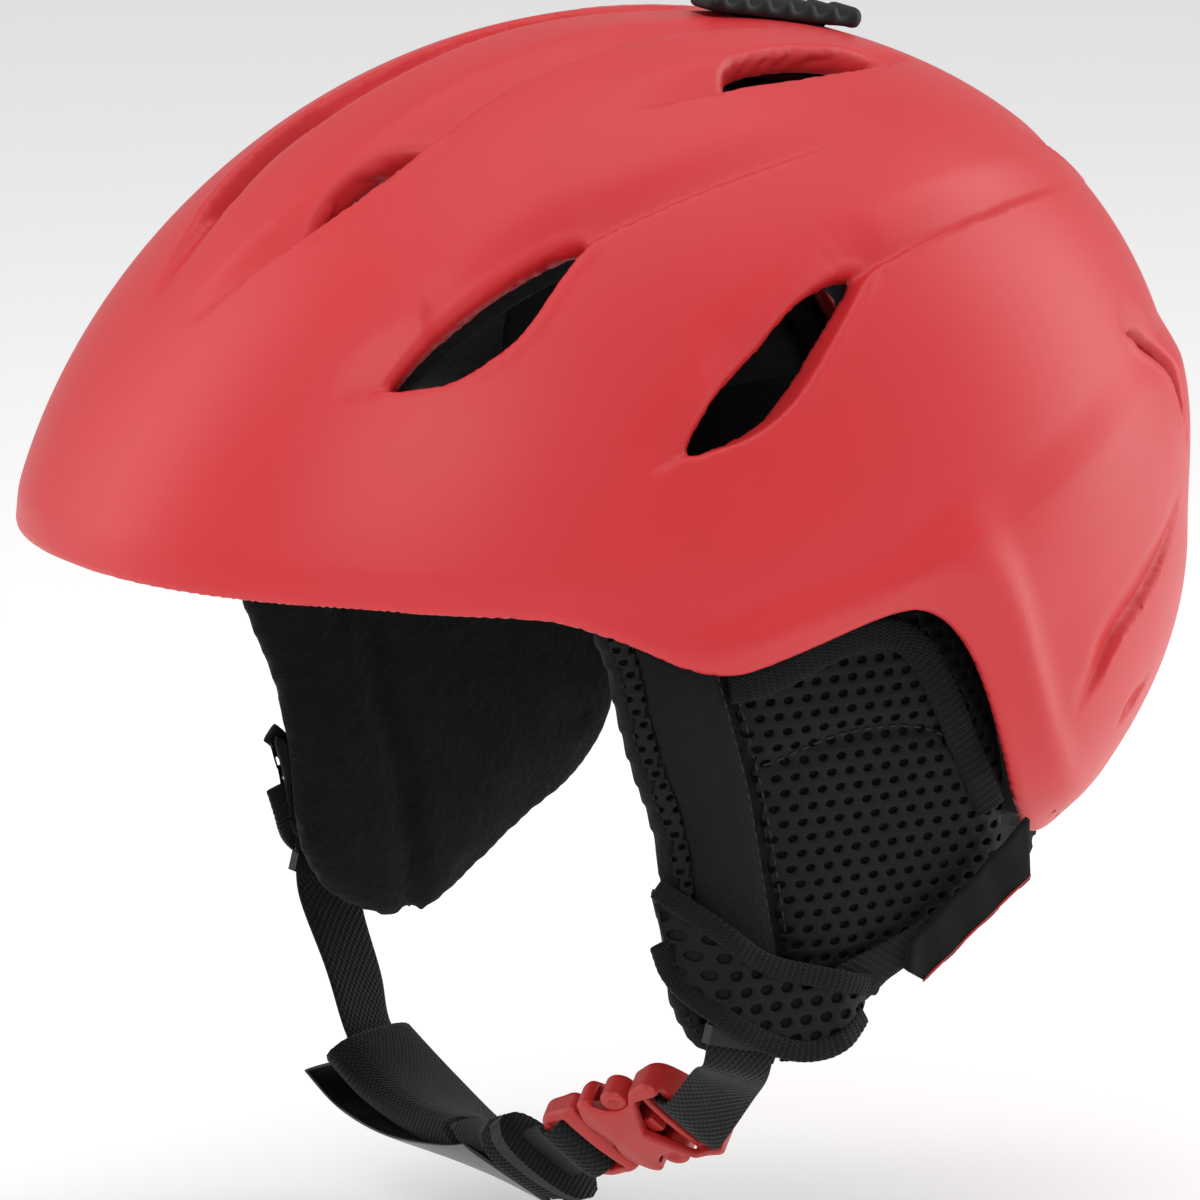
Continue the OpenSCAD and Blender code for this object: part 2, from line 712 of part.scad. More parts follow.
GOGGLE_PIN = [0, 127.4, 6];
module goggle_clip_base() {
    color(PLASTIC_BLACK) {
        difference() {
            translate([-14, 124.2, 2]) cube([28, 3.2, 16]);
            translate([-11.2, 123, 1.5]) cube([22.4, 7, 9]);
        }
        for (s = [-1, 1])
            translate([s * 12.6 - 1.4, 125.2, 3.6]) cube([2.8, 4.4, 4.8]);
        translate([-13, GOGGLE_PIN.y, GOGGLE_PIN.z])
            rotate([0, 90, 0]) cylinder(r = 1, h = 26, $fn = 32);
    }
}
module goggle_strap() {
    color(CLOTH_BLACK)
        difference() {
            union() {
                translate([-10, GOGGLE_PIN.y, GOGGLE_PIN.z])
                    rotate([0, 90, 0]) cylinder(r = 2.1, h = 20, $fn = 40);
                translate([-10, GOGGLE_PIN.y - 0.8, -36]) cube([20, 1.6, 41]);
            }
            translate([-12, GOGGLE_PIN.y, GOGGLE_PIN.z])
                rotate([0, 90, 0]) cylinder(r = 1.15, h = 24, $fn = 40);
        }
}
module goggle_snap_stud() {
    color(STEEL) translate([0, 126.2, -28]) rotate([90, 0, 0]) cylinder(r = 4, h = 4.4, $fn = 40);
}
module goggle_snap_cap() {
    color(STEEL) translate([0, 130.4, -28]) rotate([90, 0, 0]) cylinder(r = 7, h = 2, $fn = 48);
}

outer_shell();
foam_liner();
slider_frame();
vent_mesh();
brow_pad();
crown_pad();
side_pads();
hook_tabs();
strap_anchors();
ear_mount(LEFT);  // ear_mount_left
ear_mount(RIGHT);  // ear_mount_right
fit_hanger();
goggle_clip_base();
goggle_snap_stud();
vent_slider();
vent_shutter();
fit_yoke();
dial_housing();
housing_screws();
nape_pad();
dial_knob();
dial_pinion();
fit_band(LEFT);  // fit_band_left
fit_band(RIGHT);  // fit_band_right
goggle_strap();
goggle_snap_cap();
ear_pad(LEFT);  // ear_pad_left
ear_mesh(LEFT);  // ear_mesh_left
ear_binding(LEFT);  // ear_binding_left
strap_pocket(LEFT);  // strap_pocket_left
rear_web(LEFT);  // rear_web_left
twill_sleeve(LEFT);  // twill_sleeve_left
upper_web(LEFT);  // upper_web_left
strap_divider(LEFT);  // strap_divider_left
strap_keeper(LEFT);  // strap_keeper_left
ear_pad(RIGHT);  // ear_pad_right
ear_mesh(RIGHT);  // ear_mesh_right
ear_binding(RIGHT);  // ear_binding_right
strap_pocket(RIGHT);  // strap_pocket_right
rear_web(RIGHT);  // rear_web_right
twill_sleeve(RIGHT);  // twill_sleeve_right
upper_web(RIGHT);  // upper_web_right
strap_divider(RIGHT);  // strap_divider_right
strap_keeper(RIGHT);  // strap_keeper_right
chin_web_left();
buckle_socket();
chin_web_right();
chin_pad();
chin_pad_flap();
plug_web();
buckle_plug();
buckle_prong(1);  // buckle_prong_upper
buckle_prong(-1);  // buckle_prong_lower
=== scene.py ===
"""Looks of the child's ski helmet, in millimetres: +X is the wearer's left, -Y the front, +Z up."""
import math

import bpy
import numpy as np
from mathutils import Matrix, Vector


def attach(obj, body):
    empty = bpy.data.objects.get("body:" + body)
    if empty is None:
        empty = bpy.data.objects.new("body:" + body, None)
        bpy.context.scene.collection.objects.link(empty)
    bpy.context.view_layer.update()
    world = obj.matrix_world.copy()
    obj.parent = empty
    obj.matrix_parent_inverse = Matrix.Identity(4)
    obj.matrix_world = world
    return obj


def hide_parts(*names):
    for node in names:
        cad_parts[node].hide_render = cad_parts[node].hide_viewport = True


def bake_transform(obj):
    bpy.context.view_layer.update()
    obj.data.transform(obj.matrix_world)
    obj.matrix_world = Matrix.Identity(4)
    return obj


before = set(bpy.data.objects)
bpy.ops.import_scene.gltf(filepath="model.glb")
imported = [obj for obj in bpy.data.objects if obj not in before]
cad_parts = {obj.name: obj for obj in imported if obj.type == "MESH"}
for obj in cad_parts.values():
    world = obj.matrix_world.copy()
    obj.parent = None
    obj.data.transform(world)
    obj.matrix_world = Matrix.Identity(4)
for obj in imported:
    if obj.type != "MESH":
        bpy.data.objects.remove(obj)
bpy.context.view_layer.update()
MM = 0.001

# ---------------------------------------------------------------- meshes


def new_mesh(name, points, faces, uv=None):
    """Object from points in mm and faces that all have the same number of corners; uv has a row per point."""
    faces = np.asarray(faces, np.int32)
    corners = faces.shape[1]
    mesh = bpy.data.meshes.new(name)
    mesh.vertices.add(len(points))
    mesh.vertices.foreach_set("co", (np.asarray(points, np.float32) * MM).ravel())
    mesh.loops.add(faces.size)
    mesh.loops.foreach_set("vertex_index", faces.ravel())
    mesh.polygons.add(len(faces))
    mesh.polygons.foreach_set("loop_start", np.arange(0, faces.size, corners, dtype=np.int32))
    mesh.update(calc_edges=True)
    if uv is not None:
        layer = mesh.uv_layers.new(name="UVMap")
        layer.data.foreach_set("uv", np.asarray(uv, np.float32)[faces.ravel()].ravel())
    mesh.validate()
    mesh.shade_smooth()
    obj = bpy.data.objects.new(name + "_look", mesh)
    bpy.context.scene.collection.objects.link(obj)
    return obj


def ease(a, b, x):
    """Smooth step from 0 at a to 1 at b."""
    t = np.clip((x - a) / (b - a), 0, 1)
    return t * t * (3 - 2 * t)


def smooth_line(points, steps=6, closed=False):
    """Catmull-Rom curve through rows of numbers."""
    p = np.asarray(points, float)
    n = len(p)
    out = []
    for i in range(n if closed else n - 1):
        if closed:
            a, b, c, d = p[i - 1], p[i], p[(i + 1) % n], p[(i + 2) % n]
        else:
            a, b, c, d = p[max(i - 1, 0)], p[i], p[i + 1], p[min(i + 2, n - 1)]
        for t in np.arange(steps) / steps:
            out.append(0.5 * (2 * b + (c - a) * t + (2 * a - 5 * b + 4 * c - d) * t * t
                              + (3 * b - a - 3 * c + d) * t ** 3))
    if not closed:
        out.append(p[-1])
    return np.array(out)


def smax(a, b, r):
    """Greater of two fields, with the edge between them rounded."""
    return np.maximum(a, b) + np.maximum(r - np.abs(a - b), 0) ** 2 / (4 * r)


def smin(a, b, r):
    return -smax(-a, -b, r)


def outline_distance(u, v, loop):
    """Distance to a closed outline, negative inside it."""
    best = np.full(u.shape, 1e12)
    inside = np.zeros(u.shape, bool)
    for (ax, ay), (bx, by) in zip(loop, np.roll(loop, -1, 0)):
        ex, ey = bx - ax, by - ay
        wx, wy = u - ax, v - ay
        t = np.clip((wx * ex + wy * ey) / (ex * ex + ey * ey + 1e-12), 0, 1)
        best = np.minimum(best, (wx - ex * t) ** 2 + (wy - ey * t) ** 2)
        if ay != by:
            inside ^= ((ay > v) != (by > v)) & (u < ex * (v - ay) / ey + ax)
    return np.where(inside, -1, 1) * np.sqrt(best)


def line_distance(points, line):
    """Distance to a polyline, the nearest place along it (in rows), and the vector to it."""
    best = np.full(len(points), 1e12)
    place = np.zeros(len(points))
    away = np.zeros((len(points), 3))
    for i in range(len(line) - 1):
        a, b = line[i, :3], line[i + 1, :3]
        e = b - a
        w = points - a
        t = np.clip(w @ e / (e @ e), 0, 1)
        gap = w - t[:, None] * e
        d = (gap ** 2).sum(1)
        closer = d < best
        best = np.where(closer, d, best)
        place = np.where(closer, i + t, place)
        away[closer] = gap[closer]
    return np.sqrt(best), place, away


BLOCK = 4


def sample(field, low, high, step):
    """Values of a field on a grid; blocks far from its surface only get the right sign."""
    low, high = np.array(low, float), np.array(high, float)
    blocks = np.ceil((high - low) / (step * BLOCK)).astype(int)
    reach = step * BLOCK * 1.5
    at = np.indices(blocks + 1).reshape(3, -1).T
    coarse = field(low + at * step * BLOCK).reshape(blocks + 1)
    near = np.abs(coarse) < reach
    active = np.zeros(blocks, bool)
    for corner in np.ndindex(2, 2, 2):
        active |= near[tuple(slice(c, c + n) for c, n in zip(corner, blocks))]
    shape = blocks * BLOCK + 1
    grid = np.empty(shape, np.float32)
    rows = [np.minimum(np.round(np.arange(n) / BLOCK).astype(int), b) for n, b in zip(shape, blocks)]
    grid[:] = coarse[np.ix_(*rows)]
    wanted = np.zeros(shape, bool)
    first = np.argwhere(active) * BLOCK
    for offset in np.ndindex(BLOCK + 1, BLOCK + 1, BLOCK + 1):
        wanted[tuple((first + offset).T)] = True
    at = np.argwhere(wanted)
    grid[wanted] = field(low + at * step)
    return low, grid


def surface_net(grid):
    """Quads of the zero surface of a grid, one point in each cell it passes through."""
    size = np.array(grid.shape)
    cells, crossings, quads, flips = [], [], [], []
    axes = np.eye(3, dtype=int)
    for k in range(3):
        e, u, v = axes[k], axes[(k + 1) % 3], axes[(k + 2) % 3]
        a = grid[tuple(slice(0, n - s) for n, s in zip(size, e))]
        b = grid[tuple(slice(s, None) for s in e)]
        at = np.argwhere((a < 0) != (b < 0))
        va, vb = a[tuple(at.T)], b[tuple(at.T)]
        point = at + (va / (va - vb))[:, None] * e
        for du, dv in ((0, 0), (1, 0), (1, 1), (0, 1)):
            cells.append((at - du * u - dv * v) @ [size[1] * size[2], size[2], 1])
            crossings.append(point)
        quads.append(len(at))
        flips.append(va >= 0)
    keys, index = np.unique(np.concatenate(cells), return_inverse=True)
    crossings = np.concatenate(crossings)
    count = np.bincount(index)
    points = np.stack([np.bincount(index, crossings[:, k]) / count for k in range(3)], 1)
    faces, start = [], 0
    for n, flip in zip(quads, flips):
        quad = index[start:start + 4 * n].reshape(4, n).T.copy()
        quad[flip] = quad[flip][:, ::-1]
        faces.append(quad)
        start += 4 * n
    return points, np.concatenate(faces)


def settle(points, field, step, rounds=2):
    """Moves points onto the zero surface of the field."""
    probe = 0.2 * step
    for _ in range(rounds):
        value = field(points)
        slope = np.stack([(field(points + e) - value) / probe for e in probe * np.eye(3)], 1)
        size = np.maximum((slope ** 2).sum(1), 0.2)
        move = slope * (-value / size)[:, None]
        points = points + np.clip(move, -0.7 * step, 0.7 * step)
    return points


def field_mesh(name, field, low, high, step, place=None, flip=False, rounds=2):
    """Closed smooth mesh of the places where the field is below zero; place moves it into the helmet."""
    origin, grid = sample(field, low, high, step)
    points, faces = surface_net(grid)
    points = settle(origin + points * step, field, step, rounds)
    if place is not None:
        points = place(points)
    return new_mesh(name, points, faces[:, ::-1] if flip else faces)


def ribbon_mesh(name, stations, thickness, place=None, flip=False, fine=1.2, across=9, relief=None):
    """Band through rows of middle and half width vector; its UV map runs along and across it in mm."""
    rough = smooth_line([np.concatenate(s) for s in stations], 12)
    reach = np.concatenate([[0], np.cumsum(np.linalg.norm(np.diff(rough[:, :3], axis=0), axis=1))])
    run = np.linspace(0, reach[-1], max(int(reach[-1] / fine), 4))
    rows = np.stack([np.interp(run, reach, rough[:, k]) for k in range(6)], 1)
    middle, half = rows[:, :3], rows[:, 3:]
    along = np.gradient(middle, axis=0)
    lift = np.cross(along, half)
    lift /= np.linalg.norm(lift, axis=1)[:, None]
    w = np.sin(np.linspace(-1, 1, across) * math.pi / 2)
    edge = np.maximum(1 - np.abs(w) ** 6, 0.15) ** 0.5
    w = np.concatenate([w, w[::-1]])
    side = np.concatenate([edge, -edge[::-1]])
    v = w * np.linalg.norm(half, axis=1)[:, None]
    u = np.repeat(run[:, None], len(w), 1)
    rise = side * thickness / 2
    if relief is not None:
        rise = rise + relief(u, v, w[None, :]) * np.sign(side)
    points = middle[:, None] + half[:, None] * w[:, None] + lift[:, None] * rise[..., None]
    n = len(w)
    i, j = np.meshgrid(np.arange(len(run) - 1), np.arange(n), indexing="ij")
    a, b = i * n + j, i * n + (j + 1) % n
    quads = np.stack([a, a + n, b + n, b], -1).reshape(-1, 4)
    k = np.arange(across - 1)
    cap = np.stack([k, k + 1, n - 2 - k, n - 1 - k], 1)
    quads = np.concatenate([quads, cap, cap[:, ::-1] + (len(run) - 1) * n])
    points = points.reshape(-1, 3)
    if place is not None:
        points = place(points)
    return new_mesh(name, points, quads[:, ::-1] if flip else quads, uv=np.stack([u, v], -1).reshape(-1, 2))


def holed_sheet(name, inside, low, high, pitch, hole, height, depth, place, flip):
    """Sheet with staggered oval holes; inside is the distance within its border, height its outer face."""
    a, b = pitch
    border = np.array([(-.5, -.5), (-.25, -.5), (0, -.5), (.25, -.5), (.5, -.5), (.5, 0), (.5, .5), (.25, .5),
                       (0, .5), (-.25, .5), (-.5, .5), (-.5, 0)])
    turn = np.arctan2(border[:, 1], border[:, 0])
    ring = np.stack([np.cos(turn), np.sin(turn)], 1) * np.array(hole) / 2
    rows = enumerate(np.arange(low[1], high[1], b))
    row = np.arange(low[0], high[0], a)
    centres = np.array([(u + (a / 2 if k % 2 else 0), v) for k, v in rows for u in row])
    centres = centres[inside(centres[:, 0], centres[:, 1]) > -0.2 * a]
    n = len(centres)
    loops = [centres[:, None] + border * (a, b), centres[:, None] + ring * 1.14, centres[:, None] + ring,
             centres[:, None] + ring]
    drop = [0.12, 0.0, 0.18, depth]
    points, uv = [], []
    for loop, low_by in zip(loops, drop):
        q = loop.reshape(-1, 2)
        for _ in range(2):
            d = inside(q[:, 0], q[:, 1])
            slope = np.stack([inside(q[:, 0] + .2, q[:, 1]) - d, inside(q[:, 0], q[:, 1] + .2) - d], 1) / .2
            q = q + slope * np.maximum(-d, 0)[:, None]
        points.append(np.column_stack([height(q[:, 0], q[:, 1]) - low_by, q]))
        uv.append(q)
    k = np.arange(12)
    quads = []
    for level in range(3):
        start = level * n * 12 + np.arange(n)[:, None] * 12
        up = start + n * 12
        ahead = (k + 1) % 12
        quads.append(np.stack([start + k, start + ahead, up + ahead, up + k], -1).reshape(-1, 4))
    points, quads, uv = np.concatenate(points), np.concatenate(quads), np.concatenate(uv)
    _, first, same = np.unique(np.round(points, 2), axis=0, return_index=True, return_inverse=True)
    points, uv, quads = points[first], uv[first], same.ravel()[quads]
    whole = (quads[:, 0] != quads[:, 1]) & (quads[:, 1] != quads[:, 2]) & (quads[:, 2] != quads[:, 3]) \
        & (quads[:, 0] != quads[:, 3])
    quads = quads[whole]
    return new_mesh(name, place(points), quads[:, ::-1] if flip else quads, uv=uv)


def stitches(name, line, out, pitch=3.0, length=2.0, thick=0.32, place=None, flip=False):
    """Row of short raised threads along a line of points."""
    line = smooth_line(line, 8)
    reach = np.concatenate([[0], np.cumsum(np.linalg.norm(np.diff(line, axis=0), axis=1))])
    out = np.array(out, float)
    points, quads = [], []
    for s in np.arange(pitch / 2, reach[-1] - length / 2, pitch):
        at = np.array([np.interp(s, reach, line[:, k]) for k in range(3)])
        ahead = np.array([np.interp(s + 0.5, reach, line[:, k]) for k in range(3)]) - at
        ahead /= np.linalg.norm(ahead) + 1e-9
        side = np.cross(ahead, out)
        base = len(points)
        for t, size in ((-1, 0.35), (-0.6, 1), (0.6, 1), (1, 0.35)):
            for a in np.arange(6) * math.pi / 3:
                around = side * math.cos(a) + out * math.sin(a)
                points.append(at + ahead * t * length / 2 + size * thick * around)
        for r in range(3):
            for k in range(6):
                c, d = base + r * 6 + k, base + r * 6 + (k + 1) % 6
                quads.append((c, d, d + 6, c + 6))
        for r in (0, 18):
            quads.append((base + r, base + r + 1, base + r + 2, base + r + 3))
            quads.append((base + r, base + r + 3, base + r + 4, base + r + 5))
    points = np.array(points)
    if place is not None:
        points = place(points)
    quads = np.array(quads)
    return new_mesh(name, points, quads[:, ::-1] if flip else quads)


# ---------------------------------------------------------------- skin of the helmet

SHELL_W, SHELL_L, SHELL_H = 202.0, 253.0, 102.0
STEP = 1.2
SHELL_T = max(2.8, 2.0 * STEP)
LINER_GAP = 0.6
LINER_IN = 24.6

# Height of the shell's lower edge for each angle away from the brow
EDGE = np.array([
    [0, 0], [35, 0], [55, -2], [64, -8], [70, -14], [76, -16], [84, -12], [95, -6.5], [101, -5.5],
    [106, -12], [110, -24], [114, -38], [119, -51], [125, -60], [131, -64], [140, -65],
    [155, -64], [170, -57], [180, -55]])
EDGE_TURN = np.arange(-40, 221, 0.5)
FOLDED_TURN = np.where(EDGE_TURN > 180, 360 - EDGE_TURN, np.abs(EDGE_TURN))


def smoothed(table, reach, spread):
    """Column 1 of the table at every half degree, smoothed by a bell that spreads that many degrees."""
    bell = np.exp(-0.5 * (np.arange(-reach, reach + 1) * 0.5 / spread) ** 2)
    return np.convolve(np.interp(FOLDED_TURN, table[:, 0], table[:, 1]), bell / bell.sum(), mode="same")


EDGE_Z = smoothed(EDGE, 16, 2.2)
EDGE_SLOPE = np.gradient(EDGE_Z, np.radians(EDGE_TURN)) / 101


def polar(p):
    """Angle from the brow in degrees (0 to 180), radius and height."""
    x = np.abs(p[:, 0])
    return np.degrees(np.arctan2(x, -p[:, 1])), np.hypot(x, p[:, 1]), p[:, 2]


def plan_radius(turn):
    a = np.radians(turn)
    front = np.cos(a) > 0
    half_l = SHELL_L * np.where(front, 0.51, 0.49)
    n = np.where(front, 2.15, 2.35)
    return ((np.abs(np.sin(a)) * 2 / SHELL_W) ** n + (np.abs(np.cos(a)) / half_l) ** n) ** (-1 / n)


def skin_distance(p):
    """Distance outside the plain skin, negative inside."""
    turn, r, z = polar(p)
    back = (1 - np.cos(np.radians(turn))) / 2
    wide_z = -20 + 12 * back
    power = 1.85 + 0.58 * back
    plan = plan_radius(turn)
    u = np.maximum(z - wide_z, 0) / (SHELL_H - wide_z)
    size = (u ** power + (r / plan) ** power) ** (1 / power)
    span = np.hypot(r, z - wide_z)
    above = span - span / np.maximum(size, 0.02)
    drop = np.maximum(wide_z - z, 0) / 50
    tuck = 0.05 + 0.10 * ease(95, 150, turn)
    below = r - plan * (1 - tuck * drop * drop)
    return np.where(z > wide_z, above, below)


def edge_distance(p, raise_z=0.0):
    """Distance below the shell's lower edge, negative above it."""
    turn, _, z = polar(p)
    slope = np.interp(turn, EDGE_TURN, EDGE_SLOPE)
    return (np.interp(turn, EDGE_TURN, EDGE_Z) + raise_z - z) / np.sqrt(1 + slope * slope)


def skin_normal(point):
    p = np.array([point], float)
    n = np.array([(skin_distance(p + e) - skin_distance(p - e))[0] for e in 0.5 * np.eye(3)])
    return n / np.linalg.norm(n)


# Creases of the left half: x, y, z, depth of the step, width of the ramp that rises from it
CREASES = [
    # from the brow up beside the crown spine, with the meshed vent in it
    [(9, -102, 49, 0, 8), (13, -95, 57, 1.4, 9), (17, -87, 64, 2.8, 11), (20, -82, 67, 4.0, 13),
     (24, -69, 76, 5.5, 15), (24, -54, 85, 5.2, 16), (21, -37, 93, 4.0, 14), (20, -21, 98, 3.0, 13),
     (17, 2, 101, 2.2, 12), (14, 20, 101, 1.2, 10), (13, 36, 99.5, 0, 9)],
    # lower lip of the front vent, then back over the side of the crown
    [(51, -91, 40, 0, 10), (58, -83, 43, 2.0, 15), (64, -74, 44, 4.0, 22), (67, -67, 48, 5.4, 25),
     (68, -58, 54, 5.8, 25), (65, -47, 64, 5.0, 21), (63, -39, 70, 3.8, 16), (63, -30, 73, 2.6, 13),
     (63, -13, 78, 2.0, 12), (62, 2, 81, 1.5, 11), (60, 17, 83, 0.9, 10), (56, 36, 84, 0, 9)],
    # lower lip of the side vent, then back
    [(90, -42, 26, 0, 10), (91, -32, 30, 2.2, 15), (92, -21, 32, 3.8, 22), (92, -12, 36, 5.0, 25),
     (90, -4, 42, 5.2, 25), (86, 7, 53, 4.2, 19), (81, 16, 61, 3.2, 14), (79, 25, 64, 2.4, 12),
     (76, 34, 66, 2.0, 12), (69, 55, 69, 1.5, 11), (58, 74, 69, 0.8, 10), (48, 84, 67, 0, 8)],
    # crown vent
    [(41, -16, 91, 0, 8), (42, -5, 93, 2.0, 10), (42, 10, 94, 4.6, 13), (41, 24, 94, 5.0, 14),
     (36, 42, 94, 4.0, 12), (28, 54, 93, 2.0, 9), (22, 62, 92, 0, 8)],
    # groove down the rear lobe
    [(70, 100, 4, 0, 6), (74, 94, -5, 1.4, 8), (80, 85, -13, 2.2, 10), (86, 74, -21, 2.3, 10),
     (88, 68, -29, 1.4, 8), (90, 61, -35, 0, 6)],
    # short dash beside it
    [(72, 91, -34, 0, 4), (74, 86, -39, 1.3, 6), (77, 80, -43, 0, 4)],
    # rear vents
    [(40, 78, 76, 0, 8), (36, 86, 72, 3.0, 11), (31, 93, 67, 3.2, 11), (27, 101, 57, 0, 8)],
    [(74, 83, 42, 0, 8), (70, 91, 36, 2.8, 11), (66, 97, 26, 3.0, 11), (63, 102, 12, 0, 8)],
]
CREASE_EDGE = 1.0

# Openings of the left half, each a loop of points on the skin
OPENINGS = [
    [(58, -83, 43), (64, -74, 44), (67, -66, 48), (68, -57, 55), (65, -47, 64), (63, -39.5, 69.5),
     (61, -42, 70), (60, -51, 67), (59, -62, 61), (58, -73, 53)],
    [(91, -31.5, 30), (92, -21, 32), (92, -12, 36), (90, -4, 42), (86, 7, 53), (81.5, 15, 60.5),
     (81, 10, 61), (83, -1, 57), (86, -12, 49), (88, -23, 41)],
    [(20, -82, 67), (23.5, -69, 76), (23.5, -54, 85), (18, -59, 86), (15.5, -68, 82), (16, -77, 75)],
    [(41, 9, 94), (41, 24, 94), (36, 41, 94), (28, 50, 94), (27, 38, 97), (29, 24, 98), (33, 11, 97)],
    [(37, 82, 74), (34, 89, 69.5), (30, 95, 64), (28, 94, 68), (30, 88, 73), (34, 82, 76)],
    [(71, 87, 38), (68, 93.5, 31), (65, 99, 19), (62, 102, 20), (62, 99, 30), (66, 90, 38)],
]


def prepared_crease(rows):
    """Smoothed crease with, for each row, the direction across it towards the crown."""
    line = smooth_line(rows, 4)
    across = []
    for i in range(len(line)):
        along = line[min(i + 1, len(line) - 1), :3] - line[max(i - 1, 0), :3]
        side = np.cross(skin_normal(line[i, :3]), along)
        across.append(side / np.linalg.norm(side))
    across = np.array(across)
    towards_crown = np.array([-0.35, 0, 1.0])
    if (across @ towards_crown).mean() < 0:
        across = -across
    return np.concatenate([line, across], 1)


def prepared_opening(points):
    """Middle, frame (two directions in the skin and one out of it) and flat outline of an opening."""
    points = np.array(points, float)
    middle = points.mean(0)
    out = skin_normal(middle)
    spread = points - middle
    along = spread[np.argmax((spread ** 2).sum(1))]
    along = along - (along @ out) * out
    along /= np.linalg.norm(along)
    side = np.cross(out, along)
    flat = np.stack([spread @ along, spread @ side], 1)
    return middle, np.array([along, side, out]), smooth_line(flat, 4, closed=True)


CREASE_LINES = [prepared_crease(rows) for rows in CREASES]
OPENING_LOOPS = [prepared_opening(points) for points in OPENINGS]


def mirrored(p):
    return np.column_stack([np.abs(p[:, 0]), p[:, 1], p[:, 2]])


def crease_depth(q):
    """How far the creases sink the outer and the inner face of the shell at mirrored points q."""
    depth = np.zeros(len(q))
    inner = np.zeros(len(q))
    for line in CREASE_LINES:
        reach = line[:, 4].max() + 2
        low, high = line[:, :3].min(0) - reach, line[:, :3].max(0) + reach
        pick = np.flatnonzero(((q > low) & (q < high)).all(1))
        if not len(pick):
            continue
        _, place, away = line_distance(q[pick], line)
        i = np.minimum(place.astype(int), len(line) - 2)
        t = (place - i)[:, None]
        row = line[i] * (1 - t) + line[i + 1] * t
        s = (away * row[:, 5:8]).sum(1)
        lip = ease(-CREASE_EDGE, 0, s)
        ramp = 1 - ease(0, 1, s / np.maximum(row[:, 4], 1))
        along = np.linalg.norm(away - s[:, None] * row[:, 5:8], axis=1)
        end = 1 - ease(2, 7, np.where((place < 0.02) | (place > len(line) - 1.02), along, 0))
        depth[pick] = np.maximum(depth[pick], row[:, 3] * lip * ramp * end)
        early = ease(-CREASE_EDGE - 6, -CREASE_EDGE - 2, s)
        inner[pick] = np.maximum(inner[pick], row[:, 3] * early * ramp * end)
    return depth, inner


# Distance to an opening where none is near
FAR = 50.0


def opening_distance(q):
    """Distance to the nearest opening, negative inside one."""
    best = np.full(len(q), FAR)
    for middle, axes, loop in OPENING_LOOPS:
        reach = np.abs(loop).max() + 8
        pick = np.flatnonzero((np.abs(q - middle) < reach + 24).all(1))
        if not len(pick):
            continue
        local = (q[pick] - middle) @ axes.T
        d = outline_distance(local[:, 0], local[:, 1], loop)
        deep = np.maximum(np.abs(local[:, 2]) - 34, 0)
        best[pick] = np.minimum(best[pick], np.maximum(d, deep))
    return best


# Height of the soft swoosh above the shell's edge, for each angle away from the brow
SWOOSH = np.array([
    [50, 6], [68, 9], [80, 15], [93, 11.5], [101, 13.5], [108, 33], [118, 74], [131, 99], [146, 103],
    [160, 100]])
SWOOSH_Z = smoothed(SWOOSH, 24, 4.5)


def flare(q):
    """How far the band below the swoosh stands out, and how far the rim rolls in."""
    turn, _, z = polar(q)
    edge = -edge_distance(q)
    top = np.interp(turn, EDGE_TURN, EDGE_Z) + np.interp(turn, EDGE_TURN, SWOOSH_Z)
    below = top - z
    rear = ease(104, 122, turn)
    rise = ease(0, 9, below)
    fall = 1 - rear * ease(9, 44, below)
    window = ease(52, 76, turn) * (1 - ease(150, 172, turn))
    out = 2.6 * rise * fall * window
    ridge = 1.5 * np.exp(-((edge - 10) / 5.0) ** 2) * ease(98, 108, turn) * (1 - ease(128, 142, turn))
    roll = 2.4 * (1 - ease(-1, 9, edge)) * (0.45 + 0.55 * ease(55, 80, turn))
    return out + ridge - roll


def outer_field(p):
    """Distance outside the plain skin, and outside the outer and inner face with their relief."""
    q = mirrored(p)
    plain = skin_distance(q)
    near = np.flatnonzero(np.abs(plain) < 16)
    q = q[near]
    outer, inner = plain.copy(), plain.copy()
    sunk, sunk_inside = crease_depth(q)
    band = flare(q)
    outer[near] += sunk - band
    inner[near] += sunk_inside - band
    return plain, outer, inner


FLANGE = 6.5


def shell_field(p):
    plain, outer, inner = outer_field(p)
    hole = np.full(len(p), FAR)
    near = np.flatnonzero(np.abs(plain) < 30)
    hole[near] = opening_distance(mirrored(p[near]))
    sheet = np.maximum(outer, -(inner + SHELL_T))
    flange = np.maximum(np.maximum(outer, -(inner + FLANGE)), hole - 2.6)
    body = smin(sheet, flange, 1.0)
    body = smax(body, -hole, 1.6)
    body = smax(body, edge_distance(p), 1.6)
    return smax(body, -slider_slot(p), 0.8)


SLIDE_AT = np.array([0, 41, 98.9])
SLIDE_TILT = math.radians(-10.8)


def slide_frame(p):
    """Points in the frame of the crown slider: Y back along the crown, Z off it."""
    q = p - SLIDE_AT
    c, s = math.cos(SLIDE_TILT), math.sin(SLIDE_TILT)
    return np.column_stack([q[:, 0], c * q[:, 1] + s * q[:, 2], -s * q[:, 1] + c * q[:, 2]])


def box_distance(q, low, high):
    """Distance outside a box, negative inside."""
    low, high = np.array(low, float), np.array(high, float)
    d = np.abs(q - (low + high) / 2) - (high - low) / 2
    return np.linalg.norm(np.maximum(d, 0), axis=1) + np.minimum(d.max(1), 0)


def slider_slot(p):
    return box_distance(slide_frame(p), (-3, -17, -9), (3, 19, 11))


